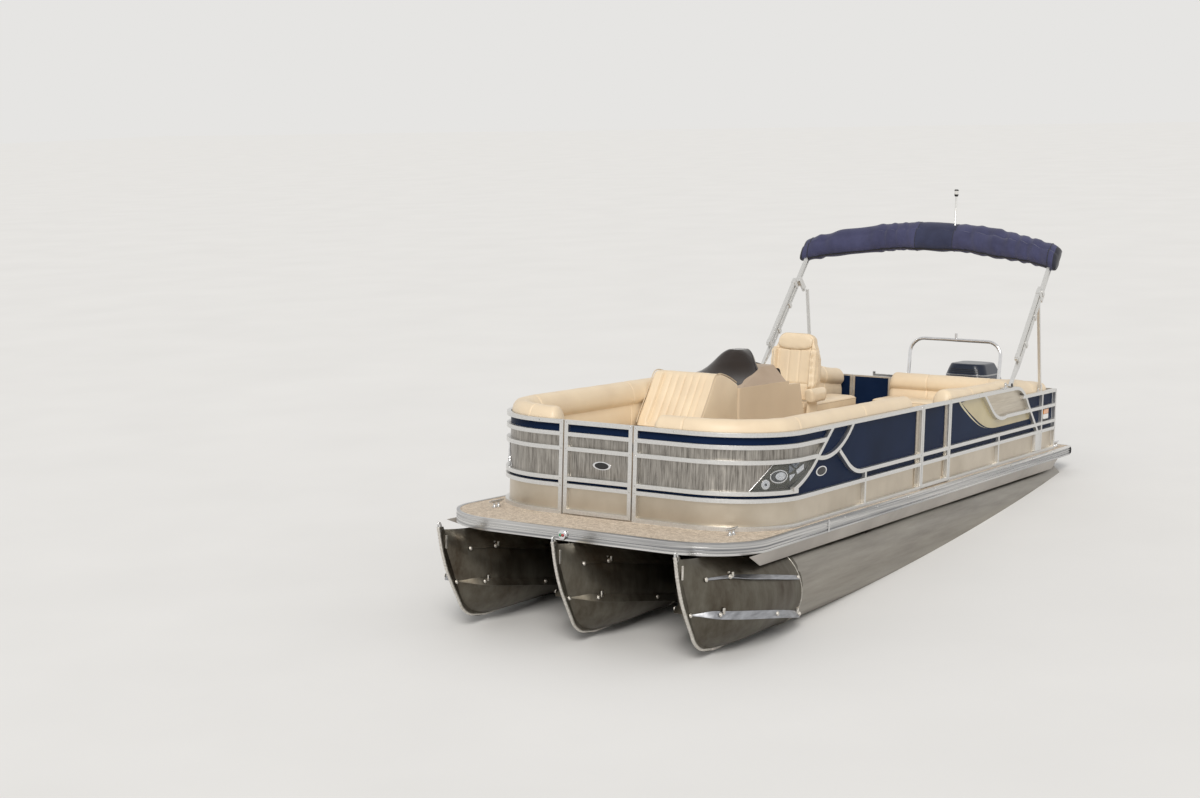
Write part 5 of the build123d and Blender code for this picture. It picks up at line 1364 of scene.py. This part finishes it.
def helm():
    """Wheel with a leather rim and dished spokes, gauges and throttle."""
    two = WHEEL_AXIS.cross(PORT)
    rings = tube_line(ring_at(WHEEL, PORT, two, 0.1748, 96), 0.0137, 14, True, up=WHEEL_AXIS)
    rings = [scaled(ring, lambda k: 0.95 if k % 2 and i % 2 else 1) for i, ring in enumerate(rings)]
    swept("wheel_grip", rings, GRIP, "helm_wheel", ("helm_wheel",), loop=True)
    for n in range(3):
        angle = math.radians(90 + 120 * n)
        way = PORT * math.cos(angle) + two * math.sin(angle)
        line = [WHEEL + way * radius + WHEEL_AXIS * along for radius, along in (
            (0.020, -0.012), (0.060, -0.012), (0.110, -0.008), (0.150, -0.002), (0.170, 0.0))]
        rings = tube_line(open_curve(line, 24), 0.013, 12, flat=0.34, up=WHEEL_AXIS)
        swept(f"wheel_spoke_{n}", rings, STAINLESS, "helm_wheel", ("helm_wheel",))
    hub = [(0.034, -0.0125), (0.042, -0.011), (0.044, -0.003), (0.038, 0.004), (0.020, 0.009), (0.004, 0.010)]
    lathe("wheel_hub", hub, WHEEL, WHEEL_AXIS, GRIP, "helm_wheel", replaces=("helm_wheel",))
    panel = rounded([(-0.30, -0.040), (0.30, -0.040), (0.27, 0.055), (-0.27, 0.055)], 0.02)
    plate("gauge_panel", panel, GAUGES, -PORT, UP, 0.003, BLACK)
    for n, y in enumerate((-0.20, -0.105, 0.105, 0.20)):
        place = GAUGES + Vector((-0.003, y, 0.008))
        lathe(f"gauge_rim_{n}", [(0.038, 0), (0.038, 0.006), (0.034, 0.008), (0.031, 0.004)], place, -AHEAD,
              CHROME)
        lathe(f"gauge_glass_{n}", [(0.031, 0.003), (0.020, 0.0045), (0.004, 0.005)], place, -AHEAD, SMOKED)
    plate("throttle_base", oblong((-0.055, 0.055), (-0.024, 0.024), 0.01), THROTTLE, AHEAD, PORT, 0.012,
          BLACK, edge=0.004)
    lever = [THROTTLE + Vector((x, 0, z)) for x, z in ((0, 0.01), (0.008, 0.05), (0.03, 0.115))]
    cord("throttle_lever", lever, 0.007, CHROME, sides=12)
    lathe("throttle_grip", [(0.006, -0.03), (0.014, -0.026), (0.016, 0), (0.014, 0.026), (0.006, 0.03)],
          lever[-1], PORT, BLACK, sides=18)


def blade(turn):
    """Points and faces of a skewed propeller blade, its two faces joined round their border."""
    middle_x, middle_z = -4.498, -0.300
    out_steps, along_steps = 14, 12
    row = along_steps + 1
    sheet = row * (out_steps + 1)
    points, faces = [], []
    for face in (-1, 1):
        for i in range(out_steps + 1):
            share = i / out_steps
            radius = 0.040 + 0.122 * share
            pitch = math.atan2(0.062, radius)
            chord = 0.070 + 0.055 * math.sin(math.pi * min(share * 0.62 + 0.30, 1))
            chord -= 0.10 * max(share - 0.80, 0)
            if share > 0.85:
                chord *= math.sqrt(max(1 - ((share - 0.85) / 0.152) ** 2, 0.01))
            for j in range(row):
                u = 2 * j / along_steps - 1
                thick = 0.0042 * (1 - u * u) * (1.25 - share) + 0.0006
                along = u * chord / 2
                a = turn + along * math.cos(pitch) / radius + 0.35 * share ** 2
                points.append(Vector((middle_x + along * math.sin(pitch) + face * thick,
                                      radius * math.sin(a), middle_z + radius * math.cos(a))))
    for start in (0, sheet):
        for i in range(out_steps):
            for j in range(along_steps):
                at = start + i * row + j
                faces.append((at, at + 1, at + row + 1, at + row))
    border = [*range(row), *(i * row + along_steps for i in range(1, out_steps + 1)),
              *(out_steps * row + j for j in range(along_steps - 1, -1, -1)),
              *(i * row for i in range(out_steps - 1, 0, -1))]
    faces += [(a, b, b + sheet, a + sheet) for a, b in zip(border, border[1:] + border[:1])]
    return points, faces


def propeller():
    """Three skewed blades on a turned hub."""
    lathe("prop_hub", [(0.044, 0.003), (0.048, 0.012), (0.048, 0.070), (0.043, 0.100), (0.030, 0.1095),
                       (0.026, 0.110), (0.024, 0.090)], (-4.440, 0, -0.300), -AHEAD, BLACK,
          "propeller", 32, ("propeller",))
    for n in range(3):
        name = f"prop_blade_{n}"
        mesh = mesh_of(name, *blade(2 * math.pi * n / 3 + math.pi / 6))
        link_piece(name, mesh, STAINLESS, "propeller", ("propeller",))


def mast():
    """All-round lamp on its pole behind the stowed top."""
    for name, mat, slot, profile in (
            ("mast_pole", ANODISED, "frame_alloy",
             [(0.016, 2.7605), (0.016, 2.768), (0.0095, 2.776), (0.0088, 3.098)]),
            ("mast_collar", BLACK, "wheel_rim",
             [(0.010, 3.092), (0.017, 3.096), (0.0215, 3.108), (0.0215, 3.114)]),
            ("mast_lens", WHITE_LENS, "lamp_head",
             [(0.019, 3.1142), (0.0195, 3.118), (0.0195, 3.146), (0.019, 3.150)]),
            ("mast_cap", BLACK, "wheel_rim",
             [(0.0215, 3.1502), (0.0215, 3.156), (0.018, 3.163), (0.006, 3.1648)])):
        lathe(name, profile, (-3.060, 0.225, 0), UP, mat, "folding_top", 24, ("light_mast",))


def top_hardware():
    """Second legs, clamps and pivot knobs of the folded frame; struts, feet and clamps of the tow bar."""
    tow_y = 0.515
    for label, side in SIDES:
        foot = TOP_PIVOT + PORT * (side * 1.291)
        leg = [foot + TOP_UP * (0.10 + 0.14 * n) - TOP_FRONT * 0.046 for n in range(11)]
        leg[0] = foot + TOP_UP * 0.06 - TOP_FRONT * 0.010
        cord(f"second_leg_{label}", leg, 0.0135, ANODISED, "folding_top", sides=8, up=PORT)
        for n, along in enumerate((0.52, 0.86, 1.16)):
            place = foot + TOP_UP * along - TOP_FRONT * 0.023 - PORT * (side * 0.022)
            plate(f"leg_clamp_{n}_{label}", oblong((-0.040, 0.040), (-0.022, 0.022), 0.010, 3), place,
                  TOP_FRONT * side, -TOP_UP, 0.044, ANODISED, "folding_top", 0.005)
        for n, (radius, along, mat) in enumerate(((0.014, 1.300, STAINLESS), (0.020, 1.301, BLACK))):
            knob = [(radius, 0), (radius, 0.006), (radius * 0.8, 0.010), (radius * 0.3, 0.011)]
            lathe(f"foot_knob_{n}_{label}", knob, TOP_PIVOT + PORT * (side * along), PORT * side, mat,
                  "folding_top", 20)
        line = open_curve([(x, side * tow_y, DECK + z) for x, z in (
            (-3.735, 0.330), (-3.700, 0.250), (-3.600, 0.008))], 18)
        cord(f"tow_strut_{label}", line, 0.012, CHROME, sides=14)
        lathe(f"tow_strut_foot_{label}", [(0.030, 0), (0.030, 0.005), (0.020, 0.009), (0.014, 0.014)],
              (-3.600, side * tow_y, DECK + 0.0004), UP, CHROME)
        lathe(f"tow_clamp_{label}", [(0.029, -0.018), (0.032, -0.014), (0.032, 0.014), (0.029, 0.018)],
              (-3.731, side * 0.5, DECK + 0.330), (-0.22, 0, 1), BLACK)


def motor():
    """Rubber belt, bright band and vents of the outboard's cowl."""
    tree = tree_of(nodes["motor_cowl"].data)

    def wrap(z, lift):
        """Line round the cowl at a height, lifted off its face."""
        out = []
        for a in turns(120):
            way = Vector((math.cos(a), math.sin(a), 0))
            spot = tree.ray_cast(Vector((-4.425, 0, z)) + way * 0.8, -way)[0]
            out.append(spot + way * lift)
        return out

    cord("cowl_belt", wrap(0.722, 0.0005), 0.0085, BLACK, "motor", True, 8, 0.9)
    cord("cowl_band", wrap(1.205, 0.0002), 0.0050, MOTOR_ALLOY, "motor", True, 8, 1.6)
    for n, z in enumerate((1.232, 1.250, 1.268)):
        line = [spot for spot in wrap(z, 0.0004) if spot.x > -4.30 and abs(spot.y) < 0.17]
        line.sort(key=lambda p: p.y)
        cord(f"cowl_vent_{n}", line, 0.0045, BLACK, "motor", sides=6, flat=0.8)


def head_pillow():
    """Head pillow of the captain's chair."""
    centre = Vector((CHAIR_X - 0.205, CHAIR_Y, DECK + 1.055))
    rings = []
    for i in range(41):
        t = i / 20 - 1
        shape = math.sqrt(max(1 - abs(t) ** 3.2, 0.02))
        ring = []
        for a in turns(32):
            across = 0.026 * power(math.cos(a), 0.8) * (0.55 + 0.45 * shape)
            tall = 0.072 * power(math.sin(a), 0.7) * (0.35 + 0.65 * shape)
            wave = 0.002 * noise.noise(Vector((t * 5, a * 2, 1.0)))
            ring.append(centre + PORT * t * 0.175 + CHAIR_FACE * (across + wave + 0.010) + CHAIR_RISE * tall)
        rings.append(ring)
    swept("chair_head_pillow", rings, CREAM, "captain_chair")


# Run

bpy.context.scene.view_settings.view_transform = "Standard"
camera()
stage()
dress_nodes()
bolsters()
chaise()
seats()
boot()
fence_trimmings()
gate_stiles()
rivets()
trim_parts()
lamps()
cleats()
hulls()
helm()
propeller()
mast()
top_hardware()
motor()
head_pillow()
